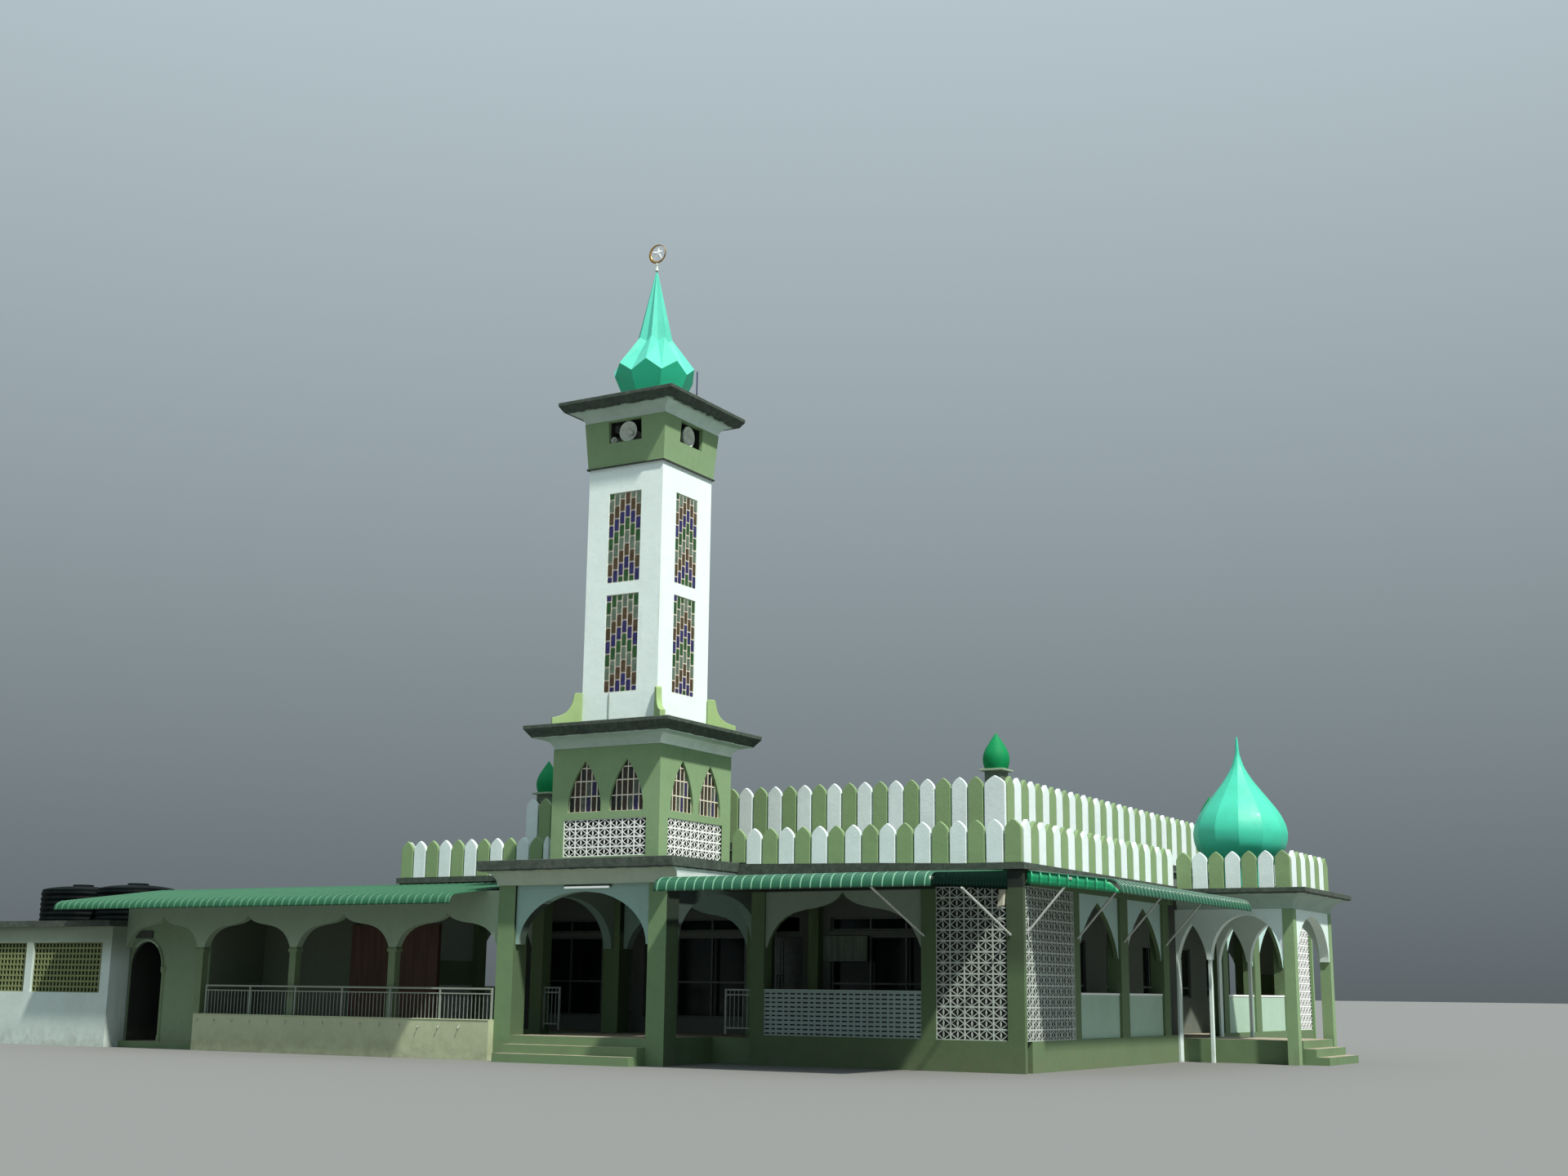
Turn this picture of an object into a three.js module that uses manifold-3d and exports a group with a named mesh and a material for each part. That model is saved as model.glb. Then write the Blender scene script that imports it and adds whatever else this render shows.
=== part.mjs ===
// Mosque with a square minaret over a front porch, a hall inside an arcaded verandah, a domed side porch
// and a low washing wing on the left. Millimetres, +Z up. While it is set out, the origin is on the ground
// at the near corner of the verandah: the front looks along -Y and runs to -X, the right side runs to +Y.
// At the end the whole is moved so that the origin is at the middle of its footprint.
import * as THREE from "three";
import { mergeVertices } from "three/addons/utils/BufferGeometryUtils.js";
import Module from "manifold-3d";

const wasm = await Module();
wasm.setup();

// Main block
const GAP = 0.3; // clearance between neighbouring pieces
const BLOCK_W = 16460;
const BLOCK_D = 21800;
const FLOOR_Z = 550;
const PLINTH_Z = 620;
const DADO_Z = 1540;
const FOOT_Z = 2460; // where the arches spring
const BEAM_Z = 3680;
const SLAB_Z0 = 4010;
const SLAB_Z1 = 4140;
const SLAB_EDGE = 60;
const PIER_W = 330;
const PIER_D = 330;
const SCREEN_T = 100; // arched infill, dado walls and vent-block panels
const SCREEN_IN = 60; // how far the infill lies behind the pier faces
const CORNER_W = 370;
const VENT_BAY = 1580;
const OGEE_BAY = 3760;
const OGEE_TOP = 3610;

// Bays of the long sides, measured along +Y from the corner
const SIDE_COLUMN = 120;
const SIDE_VENT_END = 2710;
const SIDE_PIERS = [[2710, 3040], [5510, 6000], [8390, 8800]];
const LANCET_FOOT = 2340;
const LANCET_TOP = 3530;

// Hall
const HALL_SIDE = 1660; // hall wall behind the side arcades
const HALL_FRONT = 2900; // hall wall behind the front and rear arcades
const WALL_T = 230;
const HALL_ROOF_Z0 = 4800;
const HALL_ROOF_Z1 = 4980;
const WINDOW_SILL = 1500;
const WINDOW_HEAD = 2800;
const LIGHT_SILL = 2900; // upper lights over the front openings
const LIGHT_HEAD = 3220;

// Entrance doors in the hall's front wall
const DOOR_X = -7380; // where the two leaves meet
const LEAF_W = 640;
const LEAF_H = 2200;
const LEAF_T = 45;

// Merlon rows
const LOWER_PITCH = 407;
const LOWER_TIP = 5030;
const UPPER_TIP = 6276;
const MERLON_HEAD = 220;
const MERLON_SLOT = 26;
const MERLON_T = 90;
const KERB_H = 60;
const UPPER_SIDE = 1585; // upper parapet line from the block's sides
const UPPER_FRONT = 2830; // upper parapet line from the block's front and rear
const RIGHT_NEAR_COUNT = 23; // merlons from a corner to the domed porch

// Porch and minaret, all square about one axis
const TOWER_X = -9300;
const TOWER_Y = -30;
const PORCH_R = 2230;
const PORCH_COLUMN = 460;
const PORCH_WALL = 230;
const PORCH_TOP = 3750;
const PORCH_SLAB_R = 2600;
const PORCH_SLAB_Z0 = 4100;
const PORCH_SLAB_Z1 = 4280;
const CORNICE_OUT = 150; // from the cove's tip out to the slab's lip
const CORNICE_RISE = 200; // how far the soffit climbs on the way
const BASE_R = 1456;
const BASE_WALL = 180;
const BASE_TOP = 6820;
const LANCET_W = 900;
const LANCET_OFF = 565;
const LANCET_SILL = 5380;
const LANCET_HEAD = 6520;
const BASE_VENT_W = 2220;
const BASE_VENT_Z = [4400, 5220];
const MID_SLAB_R = 1970;
const MID_SLAB_Z = [7060, 7340];
const SHAFT_R = 1030;
const SHAFT_WALL = 150;
const SHAFT_TOP = 13410;
const SHAFT_WINDOW_W = 900;
const SHAFT_WINDOWS = [[8110, 10370], [10650, 12780]];
const FIN_T = 130;
const FIN_REACH = 680;
const FIN_H = 800;
const FIN_EDGE = 210; // height of a fin's outer edge
const BELFRY_R0 = 1060;
const BELFRY_R1 = 1137;
const BELFRY_TOP = 14520;
const BELFRY_HOLE = 920;
const BELFRY_HOLE_Z = [13980, 14490];
const TOP_SLAB_R = 1600;
const TOP_SLAB_Z = [14750, 15000];
const SPIRE_TOP = 18550;
const FINIAL_Z = 18990;
const FINIAL_R = 245;

// Domed porch on the right side
const DOME_PORCH_Y = [9270, 12730];
const DOME_PORCH_X = 2880;
const DOME_PORCH_TOP = 3580;
const DOME_SLAB_Z = [3900, 4060];
const DOME_SLAB_OUT = 430;
const DOME_PORCH_TIP = 4960;
const DOME_X = 1180;
const DOME_T = 40;
const DOME_CURVE = [ // outer curve above its foot, as [radius, z]
  [740, 4640], [835, 4830], [1087, 5154], [1155, 5529], [1111, 5733], [890, 6142],
  [576, 6551], [277, 6960], [92, 7370], [45, 7560], [24, 7940],
];

// Canopies
const FRONT_CANOPY_X0 = -6500;
const FRONT_CANOPY_LIP = -3650;
const RIGHT_CANOPY_LIP = 2050;
const CANOPY_T = 40;

// Washing wing and toilet block on the left
const WING_FRONT = -2200;
const WING_X = [-23420, -11530];
const WING_PITCH = 3080;
const WING_FLOOR = 150;
const WING_ROOF_X0 = -24700;
const WING_ROOF_Z = [3980, 3560]; // at the verandah slab and at the lip's shoulder
const WING_LIP_R = 250;
const WING_POST = 200;
const WING_FOOT = 2420;
const WING_APEX = 3180;
const WING_LIP = -3480;
const WC_X = [-29600, -23420];
const WC_Y = [-2650, 1500];
const WC_WALL_TOP = 2940;
const WC_ROOF_TOP = 3090;

const PAINT = {
  olive: new THREE.MeshStandardMaterial({ color: 0x6f8a50, roughness: 0.85 }),
  white: new THREE.MeshStandardMaterial({ color: 0xe3e8e4, roughness: 0.85 }),
  cove: new THREE.MeshStandardMaterial({ color: 0xb9cdc3, roughness: 0.85 }),
  slab: new THREE.MeshStandardMaterial({ color: 0x4a504c, roughness: 0.95 }),
  mint: new THREE.MeshStandardMaterial({ color: 0x4fdcac, roughness: 0.45 }),
  emerald: new THREE.MeshStandardMaterial({ color: 0x12a35d, roughness: 0.4 }),
  sheet: new THREE.MeshStandardMaterial({ color: 0x2f8a5a, roughness: 0.4, metalness: 0.3 }),
  glass: new THREE.MeshStandardMaterial({ color: 0x3b4d4a, roughness: 0.1 }),
  coloured: new THREE.MeshStandardMaterial({ color: 0x6b6a4c, roughness: 0.2 }),
  steel: new THREE.MeshStandardMaterial({ color: 0xa9adab, roughness: 0.4, metalness: 0.7 }),
  gold: new THREE.MeshStandardMaterial({ color: 0xd9b04a, roughness: 0.3, metalness: 0.8 }),
  tank: new THREE.MeshStandardMaterial({ color: 0x1c1f20, roughness: 0.5 }),
  tile: new THREE.MeshStandardMaterial({ color: 0xa79f8e, roughness: 0.6 }),
};

const mosque = new THREE.Group();

// Solids and their booleans

function solid(geometry) {
  const bare = geometry.index ? geometry.toNonIndexed() : geometry.clone();
  bare.deleteAttribute("normal");
  bare.deleteAttribute("uv");
  const merged = mergeVertices(bare, 1e-3);
  const vertProperties = merged.attributes.position.array;
  return new wasm.Manifold(
    new wasm.Mesh({ numProp: 3, vertProperties, triVerts: new Uint32Array(merged.index.array) }),
  );
}

function geometryOf(body) {
  const made = body.getMesh();
  const positions = new Float32Array(made.numVert * 3);
  for (let i = 0; i < made.numVert; i++) {
    positions.set(made.vertProperties.subarray(i * made.numProp, i * made.numProp + 3), i * 3);
  }
  const geometry = new THREE.BufferGeometry();
  geometry.setAttribute("position", new THREE.BufferAttribute(positions, 3));
  geometry.setIndex(new THREE.BufferAttribute(made.triVerts, 1));
  geometry.computeVertexNormals();
  return geometry;
}

function join(parts) {
  return parts.reduce((sum, part) => sum.add(part));
}

function cut(body, holes) {
  return holes.reduce((left, hole) => left.subtract(hole), body);
}

function place(name, body, paint) {
  const mesh = new THREE.Mesh(geometryOf(body), PAINT[paint]);
  mesh.name = name;
  mosque.add(mesh);
}

function box(x, y, z) {
  const geometry = new THREE.BoxGeometry(x[1] - x[0], y[1] - y[0], z[1] - z[0]);
  geometry.translate((x[0] + x[1]) / 2, (y[0] + y[1]) / 2, (z[0] + z[1]) / 2);
  return solid(geometry);
}

// A shape drawn in X and Z, filled from y[0] to y[1]
function frontPlate(shape, y, curveSegments = 8) {
  const depth = y[1] - y[0];
  const geometry = new THREE.ExtrudeGeometry(shape, { depth, bevelEnabled: false, curveSegments });
  geometry.rotateX(Math.PI / 2);
  geometry.translate(0, y[1], 0);
  return solid(geometry);
}

// A shape drawn in Y and Z, filled from x[0] to x[1]
function sidePlate(shape, x, curveSegments = 8) {
  const depth = x[1] - x[0];
  const geometry = new THREE.ExtrudeGeometry(shape, { depth, bevelEnabled: false, curveSegments });
  geometry.applyMatrix4(new THREE.Matrix4().set(0, 0, 1, x[0], 1, 0, 0, 0, 0, 1, 0, 0, 0, 0, 0, 1));
  return solid(geometry);
}

function outline(points) {
  return new THREE.Shape(points.map(([u, v]) => new THREE.Vector2(u, v)));
}

// A profile of [half width, z] turned about a vertical axis, with 4 sides for square work
function turned(profile, x, y, sides) {
  const grow = sides === 4 ? Math.SQRT2 : 1;
  const points = profile.map(([r, z]) => new THREE.Vector2(r * grow, z));
  const start = sides === 4 ? Math.PI / 4 : 0;
  const geometry = new THREE.LatheGeometry(points, sides, start);
  geometry.rotateX(Math.PI / 2);
  geometry.translate(x, y, 0);
  return solid(geometry);
}

// Arch openings: each is a shape from the sill up to the feet and over the crown

// Ogee: a steep haunch, a flat shoulder and a cusp
function ogee(u0, u1, sill, foot, apex) {
  const c = (u0 + u1) / 2;
  const h = (u1 - u0) / 2;
  const rise = apex - foot;
  const shape = new THREE.Shape();
  const at = (u, v) => [c + u * h, foot + v * rise];
  shape.moveTo(u0, sill);
  shape.lineTo(u1, sill);
  shape.lineTo(u1, foot);
  shape.bezierCurveTo(...at(0.93, 0.36), ...at(0.8, 0.62), ...at(0.5, 0.69));
  shape.bezierCurveTo(...at(0.25, 0.74), ...at(0.08, 0.8), c, apex);
  shape.bezierCurveTo(...at(-0.08, 0.8), ...at(-0.25, 0.74), ...at(-0.5, 0.69));
  shape.bezierCurveTo(...at(-0.8, 0.62), ...at(-0.93, 0.36), u0, foot);
  return shape;
}

// Lancet: two slightly bowed flanks meeting in a point
function lancet(u0, u1, sill, foot, apex) {
  const c = (u0 + u1) / 2;
  const h = (u1 - u0) / 2;
  const rise = apex - foot;
  const shape = new THREE.Shape();
  shape.moveTo(u0, sill);
  shape.lineTo(u1, sill);
  shape.lineTo(u1, foot);
  shape.bezierCurveTo(c + 0.92 * h, foot + 0.32 * rise, c + 0.58 * h, foot + 0.7 * rise, c, apex);
  shape.bezierCurveTo(c - 0.58 * h, foot + 0.7 * rise, c - 0.92 * h, foot + 0.32 * rise, u0, foot);
  return shape;
}

// Round: half an ellipse
function round(u0, u1, sill, foot, apex) {
  const shape = new THREE.Shape();
  shape.moveTo(u0, sill);
  shape.lineTo(u1, sill);
  shape.lineTo(u1, foot);
  shape.absellipse((u0 + u1) / 2, foot, (u1 - u0) / 2, apex - foot, 0, Math.PI, false);
  shape.lineTo(u0, foot);
  return shape;
}

// Merlon rows: pointed slabs side by side, tied by a low kerb between their feet

function comb(from, to, count, z0, tip) {
  const pitch = (to - from) / count;
  const points = [[from, z0], [to, z0]];
  for (let i = count - 1; i >= 0; i--) {
    const left = i === 0 ? from : from + i * pitch + MERLON_SLOT / 2;
    const right = i === count - 1 ? to : from + (i + 1) * pitch - MERLON_SLOT / 2;
    if (i < count - 1) points.push([right, z0 + KERB_H]);
    points.push([right, tip - MERLON_HEAD], [(left + right) / 2, tip], [left, tip - MERLON_HEAD]);
    if (i > 0) points.push([left, z0 + KERB_H]);
  }
  return outline(points);
}

// A row along X whose outer face is at y; out is -1 when it looks to -Y and +1 when it looks to +Y
function rowAlongX(x0, x1, count, y, out, z0, tip) {
  return frontPlate(comb(x0, x1, count, z0, tip), out < 0 ? [y, y + MERLON_T] : [y - MERLON_T, y]);
}

// A row along Y whose outer face is at x; out is -1 when it looks to -X and +1 when it looks to +X
function rowAlongY(y0, y1, count, x, out, z0, tip) {
  return sidePlate(comb(y0, y1, count, z0, tip), out < 0 ? [x, x + MERLON_T] : [x - MERLON_T, x]);
}

// Floors

function raisedFloor() {
  const inset = PIER_D + GAP;
  const porch = PORCH_R - PORCH_COLUMN;
  const main = box([-BLOCK_W + inset, -inset], [inset, BLOCK_D - inset], [0, FLOOR_Z]);
  const porchX = [TOWER_X - porch + GAP, TOWER_X + porch - GAP];
  const front = box(porchX, [TOWER_Y - PORCH_R, inset + 1], [0, FLOOR_Z]);
  const mid = (DOME_PORCH_Y[0] + DOME_PORCH_Y[1]) / 2;
  const side = box([-inset - 1, DOME_PORCH_X], [mid - 1350, mid + 1350], [0, FLOOR_Z]);
  const steps = [];
  for (let i = 1; i <= 2; i++) {
    const z = FLOOR_Z - (i * FLOOR_Z) / 3;
    const out = 300 * i;
    steps.push(box(porchX, [TOWER_Y - PORCH_R - out, TOWER_Y], [0, z]));
    steps.push(box([0, DOME_PORCH_X + out], [mid - 1350, mid + 1350], [0, z]));
  }
  return cut(join([main, front, side, ...steps]), [...porchColumns(GAP), ...cornerNotches()]);
}

// Room for the four corner columns
function cornerNotches() {
  const r = CORNER_W + GAP;
  const boxes = [];
  for (const x of [[-r, 1], [-BLOCK_W - 1, -BLOCK_W + r]]) {
    for (const y of [[-1, r], [BLOCK_D - r, BLOCK_D + 1]]) boxes.push(box(x, y, [-1, FLOOR_Z + 1]));
  }
  return boxes;
}

// Porch under the minaret

function porchColumns(grow) {
  const parts = [];
  for (const sx of [-1, 1]) {
    for (const sy of [-1, 1]) {
      const reach = [PORCH_R - PORCH_COLUMN - grow, PORCH_R + grow];
      const x = reach.map((r) => TOWER_X + sx * r).sort((a, b) => a - b);
      const y = reach.map((r) => TOWER_Y + sy * r).sort((a, b) => a - b);
      parts.push(box(x, y, [0, PORCH_TOP]));
    }
  }
  return parts;
}

function porchArcade() {
  const inner = PORCH_R - PORCH_COLUMN;
  const foot = 2480;
  const apex = 3600;
  const parts = porchColumns(0);
  const wall = (c) => rect(c - inner - 1, c + inner + 1, [foot, PORCH_TOP]);
  const leg = 90;
  const archX = round(TOWER_X - inner + leg, TOWER_X + inner - leg, foot - 1, foot, apex);
  const archY = round(TOWER_Y - inner + leg, TOWER_Y + inner - leg, foot - 1, foot, apex);
  const rear = ogee(TOWER_X - inner + leg, TOWER_X + inner - leg, foot - 1, foot, apex - 20);
  const face = [PORCH_R - 60 - PORCH_WALL, PORCH_R - 60];
  const front = [TOWER_Y - face[1], TOWER_Y - face[0]];
  const back = [TOWER_Y + face[0], TOWER_Y + face[1]];
  const left = [TOWER_X - face[1], TOWER_X - face[0]];
  const right = [TOWER_X + face[0], TOWER_X + face[1]];
  const grow = (pair) => [pair[0] - 5, pair[1] + 5];
  parts.push(frontPlate(wall(TOWER_X), front).subtract(frontPlate(archX, grow(front), 16)));
  parts.push(frontPlate(wall(TOWER_X), back).subtract(frontPlate(rear, grow(back), 6)));
  parts.push(sidePlate(wall(TOWER_Y), left).subtract(sidePlate(archY, grow(left), 16)));
  parts.push(sidePlate(wall(TOWER_Y), right).subtract(sidePlate(archY, grow(right), 16)));
  return join(parts);
}

// A concave quarter curve: it leaves [r0, z0] upright and ends level at [r1, z1]
function cove(r0, z0, r1, z1, steps = 5) {
  const points = [];
  for (let i = 0; i <= steps; i++) {
    const t = (i / steps) * (Math.PI / 2);
    points.push([r0 + (r1 - r0) * (1 - Math.cos(t)), z0 + (z1 - z0) * Math.sin(t)]);
  }
  return points;
}

function porchRoof(grow) {
  const inner = PORCH_R - PORCH_COLUMN + 40;
  const z0 = PORCH_TOP + GAP - grow;
  const profile = [
    [0, PORCH_SLAB_Z0 - grow],
    [inner, PORCH_SLAB_Z0 - grow],
    [inner, z0],
    ...cove(PORCH_R + grow, z0, PORCH_SLAB_R - 90 + grow, PORCH_SLAB_Z0 - grow),
    [PORCH_SLAB_R + grow, PORCH_SLAB_Z0 + 40 - grow],
    [PORCH_SLAB_R + grow, PORCH_SLAB_Z1 + grow],
    [0, PORCH_SLAB_Z1 + grow],
  ];
  return turned(profile, TOWER_X, TOWER_Y, 4);
}

// Minaret

// The same hole in all four faces of a square tower
function fourWays(shapeAt, reach) {
  const holes = [];
  holes.push(frontPlate(shapeAt(TOWER_X), [TOWER_Y - reach, TOWER_Y + reach], 6));
  holes.push(sidePlate(shapeAt(TOWER_Y), [TOWER_X - reach, TOWER_X + reach], 6));
  return holes;
}

function rect(u0, u1, z) {
  return outline([[u0, z[0]], [u1, z[0]], [u1, z[1]], [u0, z[1]]]);
}

function towerBase() {
  const inner = BASE_R - BASE_WALL;
  const z = [PORCH_SLAB_Z1 + GAP, BASE_TOP];
  const shell = squareTube(inner, BASE_R, z);
  const holes = [];
  for (const off of [-LANCET_OFF, LANCET_OFF]) {
    const half = LANCET_W / 2;
    const foot = LANCET_SILL + 200;
    const shapeAt = (c) => lancet(c + off - half, c + off + half, LANCET_SILL, foot, LANCET_HEAD);
    holes.push(...fourWays(shapeAt, BASE_R + 50));
  }
  holes.push(...fourWays((c) => rect(c - BASE_VENT_W / 2, c + BASE_VENT_W / 2, BASE_VENT_Z), BASE_R + 50));
  return cut(shell, holes);
}

// A square tube about the tower's axis, from half width r0 to r1
function squareTube(r0, r1, z) {
  return turned([[r0, z[0]], [r1, z[0]], [r1, z[1]], [r0, z[1]], [r0, z[0]]], TOWER_X, TOWER_Y, 4);
}

// A tube of thin sheet just inside a tower's walls, closing its windows
function liner(r, z, thick) {
  return squareTube(r - thick, r, z);
}

function midSlab() {
  const z0 = BASE_TOP + GAP;
  const profile = [
    [0, MID_SLAB_Z[0] + 40],
    [BASE_R - BASE_WALL, MID_SLAB_Z[0] + 40],
    [BASE_R - BASE_WALL, z0],
    ...cove(BASE_R, z0, MID_SLAB_R - CORNICE_OUT, MID_SLAB_Z[0]),
    [MID_SLAB_R, MID_SLAB_Z[0] + CORNICE_RISE],
    [MID_SLAB_R, MID_SLAB_Z[1]],
    [0, MID_SLAB_Z[1]],
  ];
  return join([turned(profile, TOWER_X, TOWER_Y, 4), ...fins()]);
}

// Four fins on the diagonals: a concave quarter curve running down from the shaft's corner
function fins() {
  const start = SHAFT_R * Math.SQRT2 + 3;
  const shape = new THREE.Shape();
  shape.moveTo(start, MID_SLAB_Z[1] - 1);
  shape.lineTo(start + FIN_REACH, MID_SLAB_Z[1] - 1);
  shape.lineTo(start + FIN_REACH, MID_SLAB_Z[1] + FIN_EDGE);
  shape.bezierCurveTo(
    start + 0.55 * FIN_REACH, MID_SLAB_Z[1] + FIN_EDGE + 60,
    start + 0.36 * FIN_REACH, MID_SLAB_Z[1] + 0.5 * FIN_H,
    start + 0.3 * FIN_REACH, MID_SLAB_Z[1] + 0.85 * FIN_H,
  );
  shape.lineTo(start + 0.24 * FIN_REACH, MID_SLAB_Z[1] + FIN_H);
  shape.lineTo(start, MID_SLAB_Z[1] + FIN_H);
  return [0, 1, 2, 3].map((i) => {
    const options = { depth: FIN_T, bevelEnabled: false, curveSegments: 6 };
    const geometry = new THREE.ExtrudeGeometry(shape, options);
    geometry.translate(0, 0, -FIN_T / 2);
    geometry.rotateX(Math.PI / 2);
    geometry.rotateZ(Math.PI / 4 + (i * Math.PI) / 2);
    geometry.translate(TOWER_X, TOWER_Y, 0);
    return solid(geometry);
  });
}

function shaft() {
  const inner = SHAFT_R - SHAFT_WALL;
  const z = [MID_SLAB_Z[1] + GAP, SHAFT_TOP];
  const shell = squareTube(inner, SHAFT_R, z);
  const half = SHAFT_WINDOW_W / 2;
  const holes = [];
  for (const span of SHAFT_WINDOWS) {
    holes.push(...fourWays((c) => rect(c - half, c + half, span), SHAFT_R + 50));
  }
  return cut(shell, holes);
}

function belfry() {
  const inner = BELFRY_R0 - 190;
  const z0 = SHAFT_TOP + GAP;
  const lip = 40;
  const profile = [
    [0, z0],
    [BELFRY_R0 + 20, z0],
    [BELFRY_R0 + 20, z0 + lip],
    [BELFRY_R0, z0 + lip],
    [BELFRY_R1, BELFRY_TOP],
    [inner, BELFRY_TOP],
    [inner, z0 + 100],
    [0, z0 + 100],
  ];
  const half = BELFRY_HOLE / 2;
  const holes = fourWays((c) => rect(c - half, c + half, BELFRY_HOLE_Z), BELFRY_R1 + 50);
  return cut(turned(profile, TOWER_X, TOWER_Y, 4), holes);
}

// Four horns back to back on a mast that stands on the belfry's floor
function loudspeakers() {
  const mid = (BELFRY_HOLE_Z[0] + BELFRY_HOLE_Z[1]) / 2;
  const mouth = 240;
  const reach = 900;
  const foot = SHAFT_TOP + 2 * GAP + 100;
  const outer = [[0, 0], [70, 0], [70, 300], [130, 560], [mouth, reach]];
  const horn = [...outer, [mouth - 14, reach], [110, 560], [0, 420]];
  const parts = [box([TOWER_X - 50, TOWER_X + 50], [TOWER_Y - 50, TOWER_Y + 50], [foot, mid + 60])];
  for (let i = 0; i < 4; i++) {
    const geometry = new THREE.LatheGeometry(horn.map(([r, a]) => new THREE.Vector2(r, a)), 12);
    geometry.rotateZ((i * Math.PI) / 2);
    geometry.translate(TOWER_X, TOWER_Y, mid);
    parts.push(solid(geometry));
  }
  return join(parts);
}

function topSlab() {
  const z0 = BELFRY_TOP + GAP;
  const profile = [
    [0, TOP_SLAB_Z[0] + 30],
    [BELFRY_R0 - 190, TOP_SLAB_Z[0] + 30],
    [BELFRY_R0 - 190, z0],
    ...cove(BELFRY_R1, z0, TOP_SLAB_R - 0.8 * CORNICE_OUT, TOP_SLAB_Z[0]),
    [TOP_SLAB_R, TOP_SLAB_Z[0] + 0.7 * CORNICE_RISE],
    [TOP_SLAB_R, TOP_SLAB_Z[1]],
    [0, TOP_SLAB_Z[1]],
  ];
  const foot = TOP_SLAB_Z[1] - 5;
  const rod = [[0, foot], [18, foot], [18, foot + 900], [0, foot + 900]];
  return turned(profile, TOWER_X, TOWER_Y, 4).add(turned(rod, TOWER_X + 1100, TOWER_Y + 200, 6));
}

// Folded spire: eight flat five-sided faces, and over them eight ridges with valleys between.
// Each ring gives the valley's [radius, z] and the ridge's [radius, z].
function spire() {
  const base = TOP_SLAB_Z[1] + GAP;
  const rings = [
    [[0, base], [0, base]],
    [[600, base], [600 * Math.cos(Math.PI / 8), base]],
    [[946, 15767], [976, 16011]],
    [[356, 16654], [426, 16765]],
    [[0, SPIRE_TOP], [0, SPIRE_TOP]],
  ];
  const geometry = new THREE.LatheGeometry(rings.map(([valley]) => new THREE.Vector2(...valley)), 16);
  const position = geometry.getAttribute("position");
  for (let i = 0; i <= 16; i++) {
    const angle = (i * Math.PI) / 8;
    for (let k = 0; k < rings.length; k++) {
      const [r, z] = rings[k][i % 2];
      const index = i * rings.length + k;
      position.setXYZ(index, r * Math.sin(angle), z, r * Math.cos(angle));
    }
  }
  geometry.rotateX(Math.PI / 2);
  geometry.translate(TOWER_X, TOWER_Y, 0);
  return solid(geometry);
}

// Crescent ring with a five-pointed star, on a stem
function finial() {
  const ring = new THREE.Shape();
  ring.absarc(TOWER_X, FINIAL_Z, FINIAL_R, 0, 2 * Math.PI, false);
  const hole = new THREE.Path();
  hole.absarc(TOWER_X + 18, FINIAL_Z + 12, FINIAL_R - 48, 0, 2 * Math.PI, true);
  ring.holes.push(hole);
  const star = [];
  for (let i = 0; i < 10; i++) {
    const r = i % 2 ? 78 : 200;
    const angle = Math.PI / 2 + (i * Math.PI) / 5;
    star.push([TOWER_X + 18 + r * Math.cos(angle), FINIAL_Z + 12 + r * Math.sin(angle)]);
  }
  const foot = SPIRE_TOP + GAP;
  const head = FINIAL_Z - FINIAL_R + 20;
  const stem = turned([[0, foot], [45, foot], [28, head], [0, head]], TOWER_X, TOWER_Y, 8);
  const y = [TOWER_Y - 22, TOWER_Y + 22];
  const inset = [TOWER_Y - 14, TOWER_Y + 14];
  return join([frontPlate(ring, y, 12), frontPlate(outline(star), inset), stem]);
}

// Verandah arcades

// One arched bay of the front or rear: plinth below, dado, and the arched infill above
function frontBay(x0, x1, y, withDado) {
  const infill = rect(x0 - 1, x1 + 1, [FOOT_Z, BEAM_Z + 1]);
  const arch = ogee(x0 + 40, x1 - 40, FOOT_Z - 1, FOOT_Z, OGEE_TOP);
  const parts = [frontPlate(infill, y).subtract(frontPlate(arch, [y[0] - 5, y[1] + 5], 6))];
  if (withDado) parts.push(box([x0 - 1, x1 + 1], y, [PLINTH_Z - 1, DADO_Z]));
  return join(parts);
}

function frontPier(x0, x1, y) {
  return box([x0, x1], y, [0, BEAM_Z + 1]);
}

function frontRightArcade() {
  const y = [0, PIER_D];
  const screen = [SCREEN_IN, SCREEN_IN + SCREEN_T];
  const vent0 = -CORNER_W - VENT_BAY;
  const pier3 = vent0 - PIER_W;
  const pier2 = pier3 - OGEE_BAY;
  const end = TOWER_X + PORCH_R + GAP;
  const notch = (z) => box([-SCREEN_T - GAP - 5, 1], [SIDE_COLUMN, PIER_D + 1], z);
  const parts = [
    box([-CORNER_W, 0], [0, SIDE_COLUMN], [0, SLAB_Z0 - GAP]),
    box([-CORNER_W, -SCREEN_T - GAP - 5], [0, CORNER_W], [0, SLAB_Z0 - GAP]),
    box([end, 0], y, [BEAM_Z, SLAB_Z0 - GAP]).subtract(notch([BEAM_Z - 1, SLAB_Z0])),
    box([pier2 - PIER_W, -1], [0, PIER_D - 1], [0, PLINTH_Z]).subtract(notch([-1, PLINTH_Z + 1])),
    frontPier(pier3, vent0, y),
    frontPier(pier2 - PIER_W, pier2, y),
    frontBay(pier2, pier3, screen, true),
  ];
  return cut(join(parts), [porchRoof(GAP)]);
}

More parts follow.
